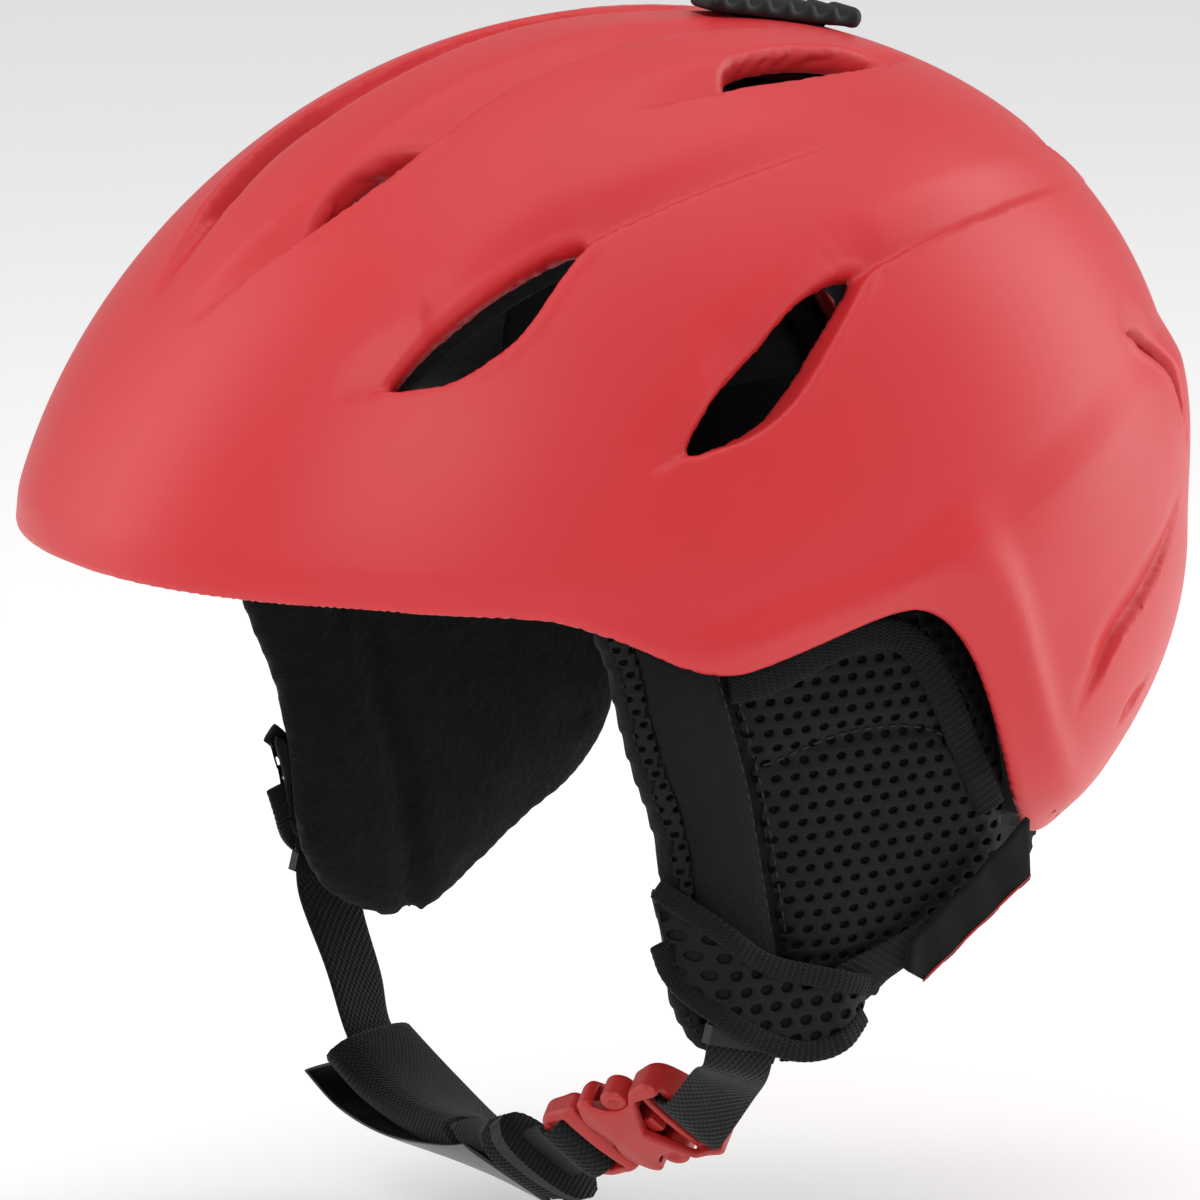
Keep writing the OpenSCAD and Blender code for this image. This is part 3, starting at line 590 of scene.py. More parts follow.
def liner_field(p):
    plain, _, inner = outer_field(p)
    q = mirrored(p)
    hole = np.full(len(p), FAR)
    near = np.flatnonzero(np.abs(plain + 14) < 34)
    hole[near] = opening_distance(q[near])
    turn = polar(p)[0]
    body = smax(inner + SHELL_T + LINER_GAP, -(plain + LINER_IN), 2.0)
    high = (1 - ease(104, 112, turn)) * np.maximum(2.5 - np.interp(turn, EDGE_TURN, EDGE_Z), 0)
    body = smax(body, edge_distance(p, 3.0 + high), 2.0)
    body = smax(body, -(hole - 3.4), 2.0)
    body = smax(body, -box_distance(slide_frame(p), (-24, -44, -13.5), (24, 44, 17)), 1.0)
    pad = np.maximum(outline_distance(q[:, 1], q[:, 2] - PIVOT_Z, PAD_LOOP) - 5, 60 - q[:, 0])
    return smax(body, -pad, 1.5)


# ---------------------------------------------------------------- ear pads

PAD_X, PAD_TILT, PIVOT_Z = 84.0, math.radians(3.2), -12.0
PAD_LOOP = smooth_line([
    (-48, 8), (-46, -4), (-41, -22), (-34, -40), (-31, -58), (-29, -76), (-20, -88), (-3, -94),
    (8, -89), (26, -76), (40, -67), (48.5, -55), (50.5, -42), (48.5, -27), (42.5, -9), (34, 3), (22, 9),
    (-14, 9.5)], 4, closed=True)
# Seams of the outer face in (Y, Z)
SEAM_MIDDLE = np.array([(-24, 9), (-21, -6), (-13, -32), (-6, -65), (-3, -90)], float)
SEAM_ARC = np.array([(-12, -26), (7, -21), (26, -22), (40, -31), (47, -44)], float)


def pad_place(side):
    """Function that puts points of the pad frame (X out, Y back, Z up) on that side of the helmet."""
    c, s = math.cos(PAD_TILT), math.sin(PAD_TILT)

    def place(q):
        return np.column_stack([side * (PAD_X + q[:, 0] * c + q[:, 2] * s), q[:, 1],
                                PIVOT_Z - q[:, 0] * s + q[:, 2] * c])
    return place


def within_pad(u, v):
    return -outline_distance(u, v, PAD_LOOP)


def behind_middle(u, v):
    """Distance behind the middle seam."""
    return 0.96 * (u - np.interp(v, SEAM_MIDDLE[::-1, 1], SEAM_MIDDLE[::-1, 0]))


def arc_gap(u, v):
    q = np.column_stack([u, v, np.zeros(len(u))])
    return line_distance(q, np.column_stack([smooth_line(SEAM_ARC, 4), np.zeros(17)]))[0]


FRONT_STRIP = 6.0
# Bound edge that shows under the ear arch of the shell
ARCH = [(-20, -8.6), (-10, -6.5), (0, -3), (9, -0.8), (18, -1), (25, -6.5), (31, -17), (37, -29), (43, -41)]


def pad_height(u, v):
    """Outer face of the padded core."""
    e = np.maximum(within_pad(u, v), 0)
    h = -1.4 + 5.6 * (1 - np.exp(-e / 5.5))
    middle = behind_middle(u, v)
    h = h - 1.5 * np.exp(-(middle / 2.2) ** 2) - 0.7 * np.exp(-(middle / 6) ** 2)
    h = h - 0.9 * np.exp(-(arc_gap(u, v) / 2.0) ** 2)
    strip = np.where(middle < 0, e - FRONT_STRIP, 20)
    return h - 0.8 * np.exp(-(strip / 1.6) ** 2)


def core_field(q):
    x, u, v = q.T
    e = within_pad(u, v)
    inner = -6.5 + 4.0 * np.exp(-np.maximum(e, 0) / 5)
    crease = np.exp(-(behind_middle(u, v) / 3.0) ** 2)
    body = smax(x - pad_height(u, v), inner + 1.6 * crease - x, 2.0)
    front = ease(0, 8, -behind_middle(u, v))
    return smax(body, -e - 1.2 * front, 3.0)


def twill_field(q):
    x, u, v = q.T
    h = pad_height(u, v) + 0.3
    region = np.maximum(FRONT_STRIP - within_pad(u, v), behind_middle(u, v) + 0.6)
    return smax(np.abs(x - h) - 0.95, region, 0.8)


def pocket_height(u, v):
    ends = np.minimum(ease(-33, -20, u), 1 - ease(4, 19, u))
    return pad_height(u, v) * (1 - ends) + 2.2 * (1 - ends) + 11.2 * ends


POCKET_LOOP = smooth_line([
    (-34, -50), (-24, -58), (-13, -66), (4, -71.5), (16, -75.5), (11, -81.5), (3, -85.4), (-7, -85),
    (-19, -79), (-29, -71), (-32, -60)], 3, closed=True)


def lining_field(q):
    x, u, v = q.T
    return smax(np.abs(x - pocket_height(u, v) + 2.0) - 0.95, outline_distance(u, v, POCKET_LOOP) + 0.3, 0.8)


SLEEVE_LOOP = np.array([
    (22, -66), (36, -54.5), (50, -42), (50.5, -56), (38, -65.5), (26, -75), (21, -72)], float)


def sleeve_field(q):
    x, u, v = q.T
    lean = 8.8 + 0.25 * np.sin(u * 0.5 + v * 0.3)
    folded = 0.5 * ease(5, 0, u - 21)
    return smax(np.abs(x - lean) - 0.75 - folded, outline_distance(u, v, SLEEVE_LOOP), 0.8)


def divider_field(q):
    x, u, v = q.T
    plate = smax(np.abs(x - 9.0) - 0.65, np.hypot(u + 8, v + 76.5) - 7.4, 0.5)
    return smax(plate, -np.maximum(np.abs(u + 8) - 5, np.abs(v + 76.5) - 1.5), 0.4)


def single(height, extra):
    """The height function for one (Y, Z) place, raised by extra."""
    return lambda u, v: float(height(np.array([u]), np.array([v]))[0]) + extra


def laid_on(points, height):
    """Points (X, Y, Z) on the face above (Y, Z) places."""
    return [np.array([height(u, v), u, v]) for u, v in points]


def across_line(points, height, width):
    """Stations of a band laid on the pad face along (Y, Z) points, with its width across the line."""
    q = smooth_line(points, 3)
    d = np.gradient(q, axis=0)
    d /= np.linalg.norm(d, axis=1)[:, None]
    sides = [np.array([0, -t[1], t[0]]) * width / 2 for t in d]
    return list(zip(laid_on(q, height), sides))


def ribs(period, depth):
    return lambda u, v, w: depth * (np.abs(np.sin(math.pi * u / period)) - 0.5)


RIB_STEP = 0.35
WEB_T = 1.3
SHEET_LOW, SHEET_HIGH = (-54, -98), (54, 12)


class EarPad:
    """Makes the pieces of one ear pad; keeps each with its material, CAD node and body."""

    def __init__(self, side):
        self.place = pad_place(side)
        self.flip = side < 0
        self.tag = "left" if side > 0 else "right"
        self.pieces = []

    def keep(self, name, obj, material, stands_for_node):
        node = name + self.tag if stands_for_node else None
        self.pieces.append((obj, material, node, "ear_" + self.tag))

    def solid(self, name, material, field, low, high, step, node=True):
        obj = field_mesh(name + self.tag, field, low, high, step, self.place, self.flip)
        self.keep(name, obj, material, node)

    def holed(self, name, material, inside, pitch, hole, height, depth, node=True):
        obj = holed_sheet(name + self.tag, inside, SHEET_LOW, SHEET_HIGH, pitch, hole, height, depth,
                          self.place, self.flip)
        self.keep(name, obj, material, node)

    def band(self, name, material, stations, thickness, node=True, fine=1.2, across=9, relief=None):
        obj = ribbon_mesh(name + self.tag, stations, thickness, self.place, self.flip, fine, across, relief)
        self.keep(name, obj, material, node)

    def ribbed_band(self, name, stations, thickness, relief, node=True):
        self.band(name, "binding", stations, thickness, node, RIB_STEP, 7, relief)

    def seam(self, name, line):
        obj = stitches(name + self.tag, line, (1, 0, 0), place=self.place, flip=self.flip)
        self.keep(name, obj, "thread", False)


def mesh_region(u, v):
    """Distance within the mesh panel behind the middle seam."""
    return np.minimum(within_pad(u, v) - 2.8, behind_middle(u, v) - 0.8)


def strip_region(u, v):
    """Distance within the narrow mesh strip along the front edge."""
    e = within_pad(u, v)
    return np.minimum(np.minimum(e - 1.9, FRONT_STRIP - 0.5 - e), -behind_middle(u, v) - 1)


def pocket_region(u, v):
    return -outline_distance(u, v, POCKET_LOOP)


def cover_height(u, v):
    return pad_height(u, v) + 1.3


def make_cover(pad):
    """Mesh and twill panels over the padded core, with their seams and the bound edge under the arch."""
    pad.holed("ear_mesh_", "spacer_mesh", mesh_region, (4.3, 3.3), (2.5, 1.6), cover_height, 1.3)
    pad.holed("ear_mesh_strip_", "spacer_mesh", strip_region, (3.3, 2.7), (1.9, 1.3), cover_height, 1.3,
              node=False)
    pad.solid("ear_twill_", "twill", twill_field, (-4, -52, -98), (9, 4, 13), 1.0, node=False)
    on_face = single(pad_height, 1.15)
    for k, shift in enumerate((-1.7, 1.7)):
        places = smooth_line(SEAM_MIDDLE[:4], 4) + (shift, 0)
        pad.seam("ear_seam_%d_" % k, laid_on(places, on_face))
    pad.seam("ear_arc_seam_", laid_on(smooth_line(SEAM_ARC, 4), single(pad_height, 1.3)))
    pad.ribbed_band("ear_binding_", across_line(ARCH, single(pad_height, 1.9), 6.6), 1.9, ribs(1.6, 0.3))


POCKET_TOP = [(-34, -50), (-24, -58), (-13, -66), (4, -71.5), (17, -75.8)]
POCKET_BOTTOM = [(-33, -62), (-29, -71), (-19, -79), (-7, -85), (3, -85.4), (12, -81)]


def make_pocket(pad):
    """Mesh pocket over the strap joint, with its lining and two bound edges."""
    pad.holed("strap_pocket_", "spacer_mesh", pocket_region, (4.8, 3.8), (3.1, 2.2), pocket_height, 1.0)
    pad.solid("pocket_lining_", "knit", lining_field, (-5, -36, -90), (13, 20, -46), 0.9, node=False)
    for k, edge in enumerate((POCKET_TOP, POCKET_BOTTOM)):
        rows = across_line(edge, single(pocket_height, 0.1), 4.4)
        pad.ribbed_band("pocket_edge_%d_" % k, rows, 1.7, ribs(1.5, 0.3), node=False)


SLEEVE_EDGE = [(25.5, -74.4), (38, -64.6), (50, -55.4)]
# Stations of the straps in the pad's frame: middle and half width
REAR_WEB = [
    ((7.2, 34, -61.5), (0, 2.48, 4.9)),
    ((7.2, 20, -69), (0, 2.2, 5.06)),
    ((7.2, 4, -75), (0, 1.65, 5.2))]
UPPER_WEB_HALF = (0, 7.76, -1.94)
UPPER_WEB = [
    ((2.5, -14, -64), UPPER_WEB_HALF),
    ((7.3, -17, -74), UPPER_WEB_HALF),
    ((7.3, -17, -83), UPPER_WEB_HALF)]


def make_straps(pad):
    """Rear strap in its sleeve, front strap and the plate that gathers them."""
    pad.solid("twill_sleeve_", "twill", sleeve_field, (6, 18, -79), (12, 54, -38), 0.8)
    piping = [((9.5, *p), (0, 0.35, 0.5)) for p in SLEEVE_EDGE]
    pad.band("sleeve_piping_", "red_thread", piping, 0.7, node=False)
    pad.band("rear_web_", "webbing", REAR_WEB, WEB_T)
    pad.band("upper_web_", "webbing", UPPER_WEB, WEB_T)
    pad.solid("strap_divider_", "plastic", divider_field, (7, -17, -86), (11, 1, -67), 0.5)


def ear_pieces(side):
    """All the pieces of one ear pad; the first is the padded core."""
    pad = EarPad(side)
    pad.solid("ear_pad_", "fleece", core_field, (-10, -54, -100), (8, 56, 14), 2.0)
    make_cover(pad)
    make_pocket(pad)
    make_straps(pad)
    return pad.pieces


# ---------------------------------------------------------------- chin strap and buckle

BUCKLE_AT = np.array([39.5, -13.9, -123.2])
BUCKLE_TURN = np.array(Matrix.Rotation(math.radians(16), 3, "Z") @ Matrix.Rotation(math.radians(-21), 3, "Y")
                       @ Matrix.Rotation(math.radians(-46), 3, "X"))
MOUTH_X, LOOP_X, PLUG_X = -8.0, 20.0, -20.5
WEB_HALF = 8.0


def buckle_place(q):
    return BUCKLE_AT + q @ BUCKLE_TURN.T


def at_buckle(x, z):
    """Station of a strap at that X and Z of the buckle."""
    return buckle_place(np.array([[x, 0, z]]))[0], BUCKLE_TURN @ np.array([0, WEB_HALF, 0])


TRAY = np.array([(4.2, 0), (7.5, -5.5), (10, -9.4), (19, -9.8), (19, 9.8), (10, 9.4), (7.5, 5.5)], float)


def socket_field(q):
    x, y, z = q.T
    ay = np.abs(y)
    half = 12.5 - 1.3 * ease(-4, 3, x) * (1 - ease(8, 15, x)) + 0.6 * ease(13, 19, x)
    mouth = MOUTH_X + 0.9 * np.cos(2 * math.pi * y / 12.5)
    plan = smax(smax(ay - half, mouth - x, 4.0), x - LOOP_X + 0.02 * y * y, 3.0)
    tray = outline_distance(x, y, TRAY)
    lip = 0.75 * np.exp(-(np.maximum(np.abs(tray - 0.6) - 0.3, 0) / 0.5) ** 2) * ease(20, 15, x)
    thick = 4.1 - 0.9 * (ay / 12.5) ** 2 - 0.9 * ease(-3, -9, x) + 0.5 * ease(13, 18, x)
    body = smax(plan, z - thick, 1.4)
    body = smax(body, -z - thick - lip, 1.0)
    body = smax(body, -box_distance(q, (-10, -10.4, -2.5), (10, 10.4, 2.5)), 0.5)
    body = smax(body, -np.maximum(tray + 0.2, z + thick - 1.5), 0.6)
    notch = np.hypot((x - 3.5) / 1.15, ay - 12.9) - 5.2
    body = smax(body, -notch, 1.0)
    return smax(body, -box_distance(q, (11.5, -8.9, -9), (16.4, 8.9, 9)), 0.8)


def plug_field(q):
    x, y, z = q.T
    ay = np.abs(y)
    plan = smax(smax(ay - 11 + 0.05 * (x + 14) ** 2 * 0.3, PLUG_X - x + 0.012 * y * y, 3.0), x + 8.5, 1.2)
    thick = 3.4 - 0.7 * (ay / 11) ** 2 + 0.35 * np.exp(-((x + 11) / 1.4) ** 2)
    body = smax(plan, np.abs(z) - thick, 1.4)
    slant = x - 0.10 * y
    window = np.maximum(np.abs(slant - PLUG_X - 6.3) - 2.4, ay - 8.7)
    body = smax(body, -window, 0.8)
    tongue = box_distance(q, (-10, -2, -2), (7, 2, 2)) - 0.2
    return smin(body, tongue, 0.8)


def prong_field(side):
    def field(q):
        x, y, z = q[:, 0], side * q[:, 1], q[:, 2]
        q = np.column_stack([x, y, z])
        arm = box_distance(q, (MOUTH_X, 5.5, -1.7), (1.5, 7.1, 1.7)) - 0.3
        pad = box_distance(q, (1.2, 5.6, -1.7), (6.4, 9.8, 1.7)) - 0.3
        round_pad = smax(np.hypot((x - 3.5) / 1.1, y - 9.4) - 3.1, np.abs(z) - 2.9, 1.0)
        dimple = np.sqrt((x - 3.5) ** 2 / 3.2 + (y - 9.4) ** 2 / 1.6 + (np.abs(z) - 3.2) ** 2 / 0.9) - 1
        return smax(smin(smin(arm, pad, 0.8), round_pad, 0.6), -dimple, 0.4)
    return field


CHIN_LINE = [
    ((-68, -18, -129), (-0.42, 0.90, -0.05)), ((-57, -14, -137), (-0.28, 0.94, -0.14)),
    ((-38, -12, -142.5), (-0.08, 0.92, -0.34)), ((-16, -12, -142.5), (0, 0.86, -0.50)),
    ((0, -15, -140), (0.03, 0.80, -0.60)), ((8, -17, -137), (0.04, 0.76, -0.65))]
CHIN_W = 29.0


def chin_relief(u, v, w):
    """Seams and puffiness of the chin pad, u along it from the far end."""
    puff = 1.5 * (1 - w ** 2) - 0.5
    diagonal = np.abs(v - (u - 62) * 1.3) / 1.64
    seam = -1.3 * np.exp(-(diagonal / 0.9) ** 2) * ease(36, 44, u)
    cross = 1.1 * np.exp(-((u - 70) / 1.4) ** 2) - 0.8 * np.exp(-((u - 73.4) / 0.8) ** 2)
    knit = 0.16 * (np.abs(np.sin(math.pi * v / 1.9)) - 0.5)
    return puff + seam + cross + knit


def chin_stations(offset, count):
    rows = []
    for middle, wide in CHIN_LINE[:count]:
        wide = np.array(wide)
        rows.append((np.array(middle) + offset, wide / np.linalg.norm(wide) * CHIN_W / 2))
    return rows


def half_web(v):
    v = np.array(v, float)
    return v / np.linalg.norm(v) * WEB_HALF


# Stations of the straps: middle and half width
LEFT_WEB = [
    ((87.3, -17.1, -95), half_web((0, 1, -0.25))),
    ((85.6, -17.4, -101.6), half_web((0, 1, -0.3))),
    ((72, -12.5, -108.5), half_web((0.03, 0.84, -0.5))),
    at_buckle(20, -5.0), at_buckle(16.6, -4.2), at_buckle(14.4, -2.6), at_buckle(13.4, 1.5)]
RIGHT_WEB = [
    ((-87.3, -17.1, -95), half_web((0, 1, -0.25))),
    ((-86.5, -16.6, -103), half_web((0, 1, -0.3))),
    ((-79, -15.5, -116), half_web((-0.2, 0.94, -0.25))),
    ((-71.5, -16.6, -125.5), half_web((-0.4, 0.90, -0.1))),
    ((-64.5, -16.6, -131.5), half_web((-0.35, 0.92, -0.1)))]
PLUG_WEB = [
    ((6.5, -17.2, -137.2), half_web((0.04, 0.76, -0.66))),
    at_buckle(PLUG_X - 1.6, -1.6), at_buckle(PLUG_X + 1, -4.1), at_buckle(PLUG_X + 4.8, -3.4),
    at_buckle(PLUG_X + 6.4, -0.5)]


def strap_pieces():
    """Chin webs, chin pad and buckle, each with its material, CAD node and body."""
    fine = 0.36
    low, high = (-24, -16, -8), (23, 16, 8)
    made = [
        (field_mesh("buckle_socket", socket_field, low, high, fine, buckle_place), "buckle", "buckle_socket",
         "chin_left"),
        (field_mesh("buckle_plug", plug_field, low, high, fine, buckle_place), "buckle", "buckle_plug",
         "chin_release")]
    for side, tag in ((1, "upper"), (-1, "lower")):
        prong = field_mesh("buckle_prong_" + tag, prong_field(side), low, high, fine, buckle_place)
        made.append((prong, "buckle", "buckle_prong_" + tag, "prong_" + tag))
    made.append((ribbon_mesh("chin_web_left", LEFT_WEB, WEB_T), "webbing", "chin_web_left", "chin_left"))
    made.append((ribbon_mesh("chin_web_right", RIGHT_WEB, WEB_T), "webbing", "chin_web_right",
                 ("chin_right", "chin_release")))
    pad = ribbon_mesh("chin_pad", chin_stations((0, 0, 0), 6), 7.5, fine=0.6, across=48,
                      relief=chin_relief)
    made.append((pad, "knit", "chin_pad", "chin_release"))
    flap = ribbon_mesh("chin_pad_flap", chin_stations((-3.6, -3.8, -4.2), 5), 1.2, fine=1.0, across=24)
    made.append((flap, "glossy_rubber", "chin_pad_flap", "chin_release"))
    made.append((ribbon_mesh("plug_web", PLUG_WEB, WEB_T), "webbing", "plug_web", "chin_release"))
    return made


# ---------------------------------------------------------------- slider, vent mesh, goggle strap


def slider_field(p):
    q = slide_frame(p) - (0, 1, 0)
    x, y, z = q.T
    plate = smax(smax(np.abs(x) - 5.6, np.abs(y) - 18.6, 4.0), np.abs(z - 1.3) - 1.0, 0.9)
    body = plate
    for k in range(-3, 4):
        arm = np.maximum(np.abs(x) - 3.6, 0)
        rib = np.sqrt(arm ** 2 + (y - k * 5.5) ** 2 + (z - 2.4) ** 2) - 2.1
        body = smin(body, rib, 0.9)
    return smin(body, box_distance(q, (-2.4, -10.8, -8.6), (2.4, 10.8, 1)) - 0.2, 0.6)


def goggle_field(p):
    x, y, z = (p - (0, 127.4, 6)).T
    band = smax(np.abs(x) - 10 + 1.2 * ease(-36, -42, z), np.abs(y) - 0.8, 0.6)
    band = smax(smax(band, z, 0.5), -z - 42, 3.0)
    roll = smax(np.hypot(y, z) - 2.1, np.abs(x) - 10, 0.6)
    return smax(smin(band, roll, 0.8), 1.15 - np.hypot(y, z), 0.2)


VENT_AT = np.array([23, -70, 76.0])


def within_vent(u, v):
    return 1 - np.sqrt((u / 23) ** 2 + (v / 6.4) ** 2)


def vent_mesh_height(u, v):
    return -7.2 + 0 * u


def vent_mesh_pieces():
    """Holed sheets behind the two front crown vents."""
    out = np.array([0.22, -0.55, 0.80])
    out /= np.linalg.norm(out)
    along = np.array([25, -56, 84.0]) - VENT_AT
    along -= (along @ out) * out
    along /= np.linalg.norm(along)
    side = np.cross(out, along)
    made = []
    for mirror in (1, -1):
        def place(q, mirror=mirror):
            p = VENT_AT + q[:, :1] * out + q[:, 1:2] * along + q[:, 2:] * side
            return p * (mirror, 1, 1)
        name = "vent_mesh_" + ("left" if mirror > 0 else "right")
        made.append(holed_sheet(name, within_vent, (-24, -7), (24, 7), (2.8, 2.2), (2.0, 1.5),
                                vent_mesh_height, 0.8, place, mirror < 0))
    return made


# ---------------------------------------------------------------- inflated padding

# CAD node, body, voxel and greatest inflation in mm
CUSHIONS = [
    ("brow_pad", "helmet", 4.5, 1.6),
    ("crown_pad", "helmet", 4.5, 1.8),
    ("side_pads", "helmet", 4.5, 1.6),
    ("nape_pad", "fit_cradle", 4.0, 1.2)]
# Greatest inflation of the ear pads' cores, which are pinned where their mesh face lies on them
EAR_SWELL = 0.7
SIM_FRAMES = 20


def under_mesh(p):
    return np.abs(p[:, 0]) > PAD_X - 4.5


def inflate(rows):
    """Runs one cloth simulation on all (object, voxel, cap in mm, test for pinned points) rows."""
    scene = bpy.context.scene
    view = bpy.context.view_layer
    rest = []
    for obj, voxel, _, pinned in rows:
        if voxel:
            remesh = obj.modifiers.new("remesh", "REMESH")
            remesh.mode = "VOXEL"
            remesh.voxel_size = voxel * MM
            view.update()
            mesh = bpy.data.meshes.new_from_object(obj.evaluated_get(bpy.context.evaluated_depsgraph_get()))
            obj.modifiers.clear()
            obj.data = mesh
        start = np.empty(len(obj.data.vertices) * 3, np.float32)
        obj.data.vertices.foreach_get("co", start)
        rest.append(start.reshape(-1, 3))
        cloth = obj.modifiers.new("cloth", "CLOTH")
        cloth.settings.use_pressure = True
        cloth.settings.uniform_pressure_force = 4
        cloth.settings.effector_weights.gravity = 0
        cloth.settings.quality = 5
        cloth.point_cache.frame_start = 1
        cloth.point_cache.frame_end = SIM_FRAMES
        if pinned is not None:
            group = obj.vertex_groups.new(name="held")
            held = np.flatnonzero(pinned(rest[-1] / MM))
            group.add([int(i) for i in held], 1.0, "REPLACE")
            cloth.settings.vertex_group_mass = "held"
    for f in range(1, SIM_FRAMES + 1):
        scene.frame_set(f)
    graph = bpy.context.evaluated_depsgraph_get()
    for (obj, _, cap, _), start in zip(rows, rest):
        mesh = bpy.data.meshes.new_from_object(obj.evaluated_get(graph))
        obj.modifiers.clear()
        moved = np.empty(len(mesh.vertices) * 3, np.float32)
        mesh.vertices.foreach_get("co", moved)
        move = np.nan_to_num(moved.reshape(-1, 3) - start)
        size = np.linalg.norm(move, axis=1)[:, None] + 1e-9
        move = move / size * np.minimum(size, cap * MM)
        mesh.vertices.foreach_set("co", (start + move).ravel().astype(np.float32))
        mesh.shade_smooth()
        obj.data = mesh
        obj.vertex_groups.clear()
        smooth = obj.modifiers.new("smooth", "SUBSURF")
        smooth.levels = smooth.render_levels = 1
    scene.frame_set(1)


def cushion_source(node):
    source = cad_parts[node]
    obj = bpy.data.objects.new("soft_" + node, source.data.copy())
    obj.data.materials.clear()
    bpy.context.scene.collection.objects.link(obj)
    return obj


# ---------------------------------------------------------------- materials


class Nodes:
    """Short way to build a node material."""

    def __init__(self, name):
        self.material = bpy.data.materials.new(name)
        self.material.use_nodes = True
        self.tree = self.material.node_tree
        self.shader = self.tree.nodes["Principled BSDF"]
        self.coord = self.new("TexCoord").outputs["Object"]

    def put(self, socket, value):
        """Links or sets an input."""
        if hasattr(value, "is_linked"):
            self.tree.links.new(value, socket)
        else:
            socket.default_value = value

    def new(self, kind, **inputs):
        """New shader node with its named inputs linked or set."""
        node = self.tree.nodes.new("ShaderNode" + kind)
        for name, value in inputs.items():
            self.put(node.inputs[name], value)
        return node

    def noise(self, scale, detail=2.0, rough=0.5):
        node = self.new("TexNoise", Vector=self.coord, Scale=scale, Detail=detail, Roughness=rough)
        return node.outputs["Fac"]

    def cells(self, scale):
        return self.new("TexVoronoi", Vector=self.coord, Scale=scale).outputs["Distance"]

    def ramp(self, value, stops):
        """Colour ramp between two stops of place and colour."""
        node = self.new("ValToRGB", Fac=value)
        for end, (place, color) in zip(node.color_ramp.elements, stops):
            end.position = place
            end.color = (*color, 1)
        return node.outputs["Color"]

    def math(self, kind, a, b=0.0):
        node = self.new("Math")
        node.operation = kind
        self.put(node.inputs[0], a)
        self.put(node.inputs[1], b)
        return node.outputs["Value"]

    def scaled(self, low, high, value):
        return self.new("MapRange", Value=value, **{"To Min": low, "To Max": high}).outputs["Result"]

    def split(self, vector):
        return self.new("SeparateXYZ", Vector=vector).outputs

    def bump(self, height, strength, distance):
        """Adds a bump on top of those before it."""
        node = self.new("Bump", Strength=strength, Distance=distance, Height=height)
        normal = self.shader.inputs["Normal"]
        if normal.is_linked:
            self.put(node.inputs["Normal"], normal.links[0].from_socket)
        self.put(normal, node.outputs["Normal"])

    def finish(self, color, rough, **rest):
        """Sets the inputs of the shader; the rest are named in lower case, with underscores."""
        for name, value in dict(base_color=color, roughness=rough, **rest).items():
            title = "Specular IOR Level" if name == "specular" else name.replace("_", " ").title()
            self.put(self.shader.inputs[title], value)
        return self.material


def two_tone(nodes, base, spread, scale):
    """Base colour with a faint cloudy variation."""
    dark = [c * (1 - spread) for c in base]
    light = [c * (1 + spread) for c in base]
    return nodes.ramp(nodes.noise(scale, 3), [(0.3, dark), (0.7, light)])


def shell_paint():
    n = Nodes("shell_paint")
    color = two_tone(n, (0.60, 0.026, 0.031), 0.02, 30)
    n.bump(n.noise(2600, 2), 0.05, 0.0001)
    rough = n.scaled(0.40, 0.46, n.noise(40))
    return n.finish(color, rough, coat_weight=0.08, coat_roughness=0.42, specular=0.4)


def bead_foam():
    n = Nodes("bead_foam")
    n.bump(n.cells(300), 0.5, 0.0006)
    return n.finish(two_tone(n, (0.006, 0.006, 0.007), 0.2, 90), 0.85, specular=0.2)


def moulded(name, color, rough, grain=900, strength=0.12, shine=0.5):
    n = Nodes(name)
    n.bump(n.noise(grain, 3), strength, 0.0002)
    n.bump(n.noise(60, 2), 0.04, 0.0006)
    color = two_tone(n, color, 0.12, 45)
    return n.finish(color, n.scaled(rough - 0.06, rough + 0.08, n.noise(120, 3)), specular=shine)


def fleece():
    n = Nodes("fleece")
    n.bump(n.noise(420, 6, 0.7), 0.9, 0.0012)
    n.bump(n.noise(90, 3), 0.4, 0.002)
    color = two_tone(n, (0.0055, 0.0055, 0.006), 0.35, 160)
    return n.finish(color, 0.95, sheen_weight=0.08, sheen_roughness=0.6, specular=0.12)


def woven(name, color, period_u, period_v, strength=0.7, rough=0.75, use_uv=True, sheen=0.04):
    """Over and under weave along two directions, in the map's mm or in object space; its colour carries
    painted shade between the threads and a painted highlight on the raised ones.
    """
    n = Nodes(name)
    if use_uv:
        u, v, _ = n.split(n.new("TexCoord").outputs["UV"])
    else:
        x, y, z = n.split(n.coord)
        u, v = n.math("MULTIPLY", n.math("ADD", x, y), 1 / MM), n.math("MULTIPLY", z, 1 / MM)
    a = n.math("SINE", n.math("MULTIPLY", u, 2 * math.pi / period_u))
    b = n.math("SINE", n.math("MULTIPLY", v, 2 * math.pi / period_v))
    weave = n.math("MULTIPLY", a, b)
    fibres = n.math("MULTIPLY", n.noise(1500, 2), 0.4)
    n.bump(n.math("ADD", n.math("MULTIPLY", weave, 0.5), fibres), strength, 0.0004)
    # Painted shade and highlight: the colour darkens in the low parts of the weave and lightens on the raised
    # threads, following the bump height.
    dark = [c * 0.55 for c in color]
    light = [c * 1.5 for c in color]
    level = n.scaled(0, 1, n.math("MULTIPLY", n.math("ADD", weave, 1.0), 0.5))
    weave_with_painted_shade = n.ramp(level, [(0.2, dark), (0.8, light)])
    return n.finish(weave_with_painted_shade, n.scaled(rough - 0.1, rough + 0.1, n.noise(200, 3)), sheen_weight=sheen,
                    specular=0.12)


def steel():
    n = Nodes("steel")
    n.bump(n.noise(700, 4), 0.1, 0.0001)
    color = two_tone(n, (0.33, 0.34, 0.35), 0.1, 200)
    return n.finish(color, n.scaled(0.25, 0.42, n.noise(300, 4)), metallic=1.0)


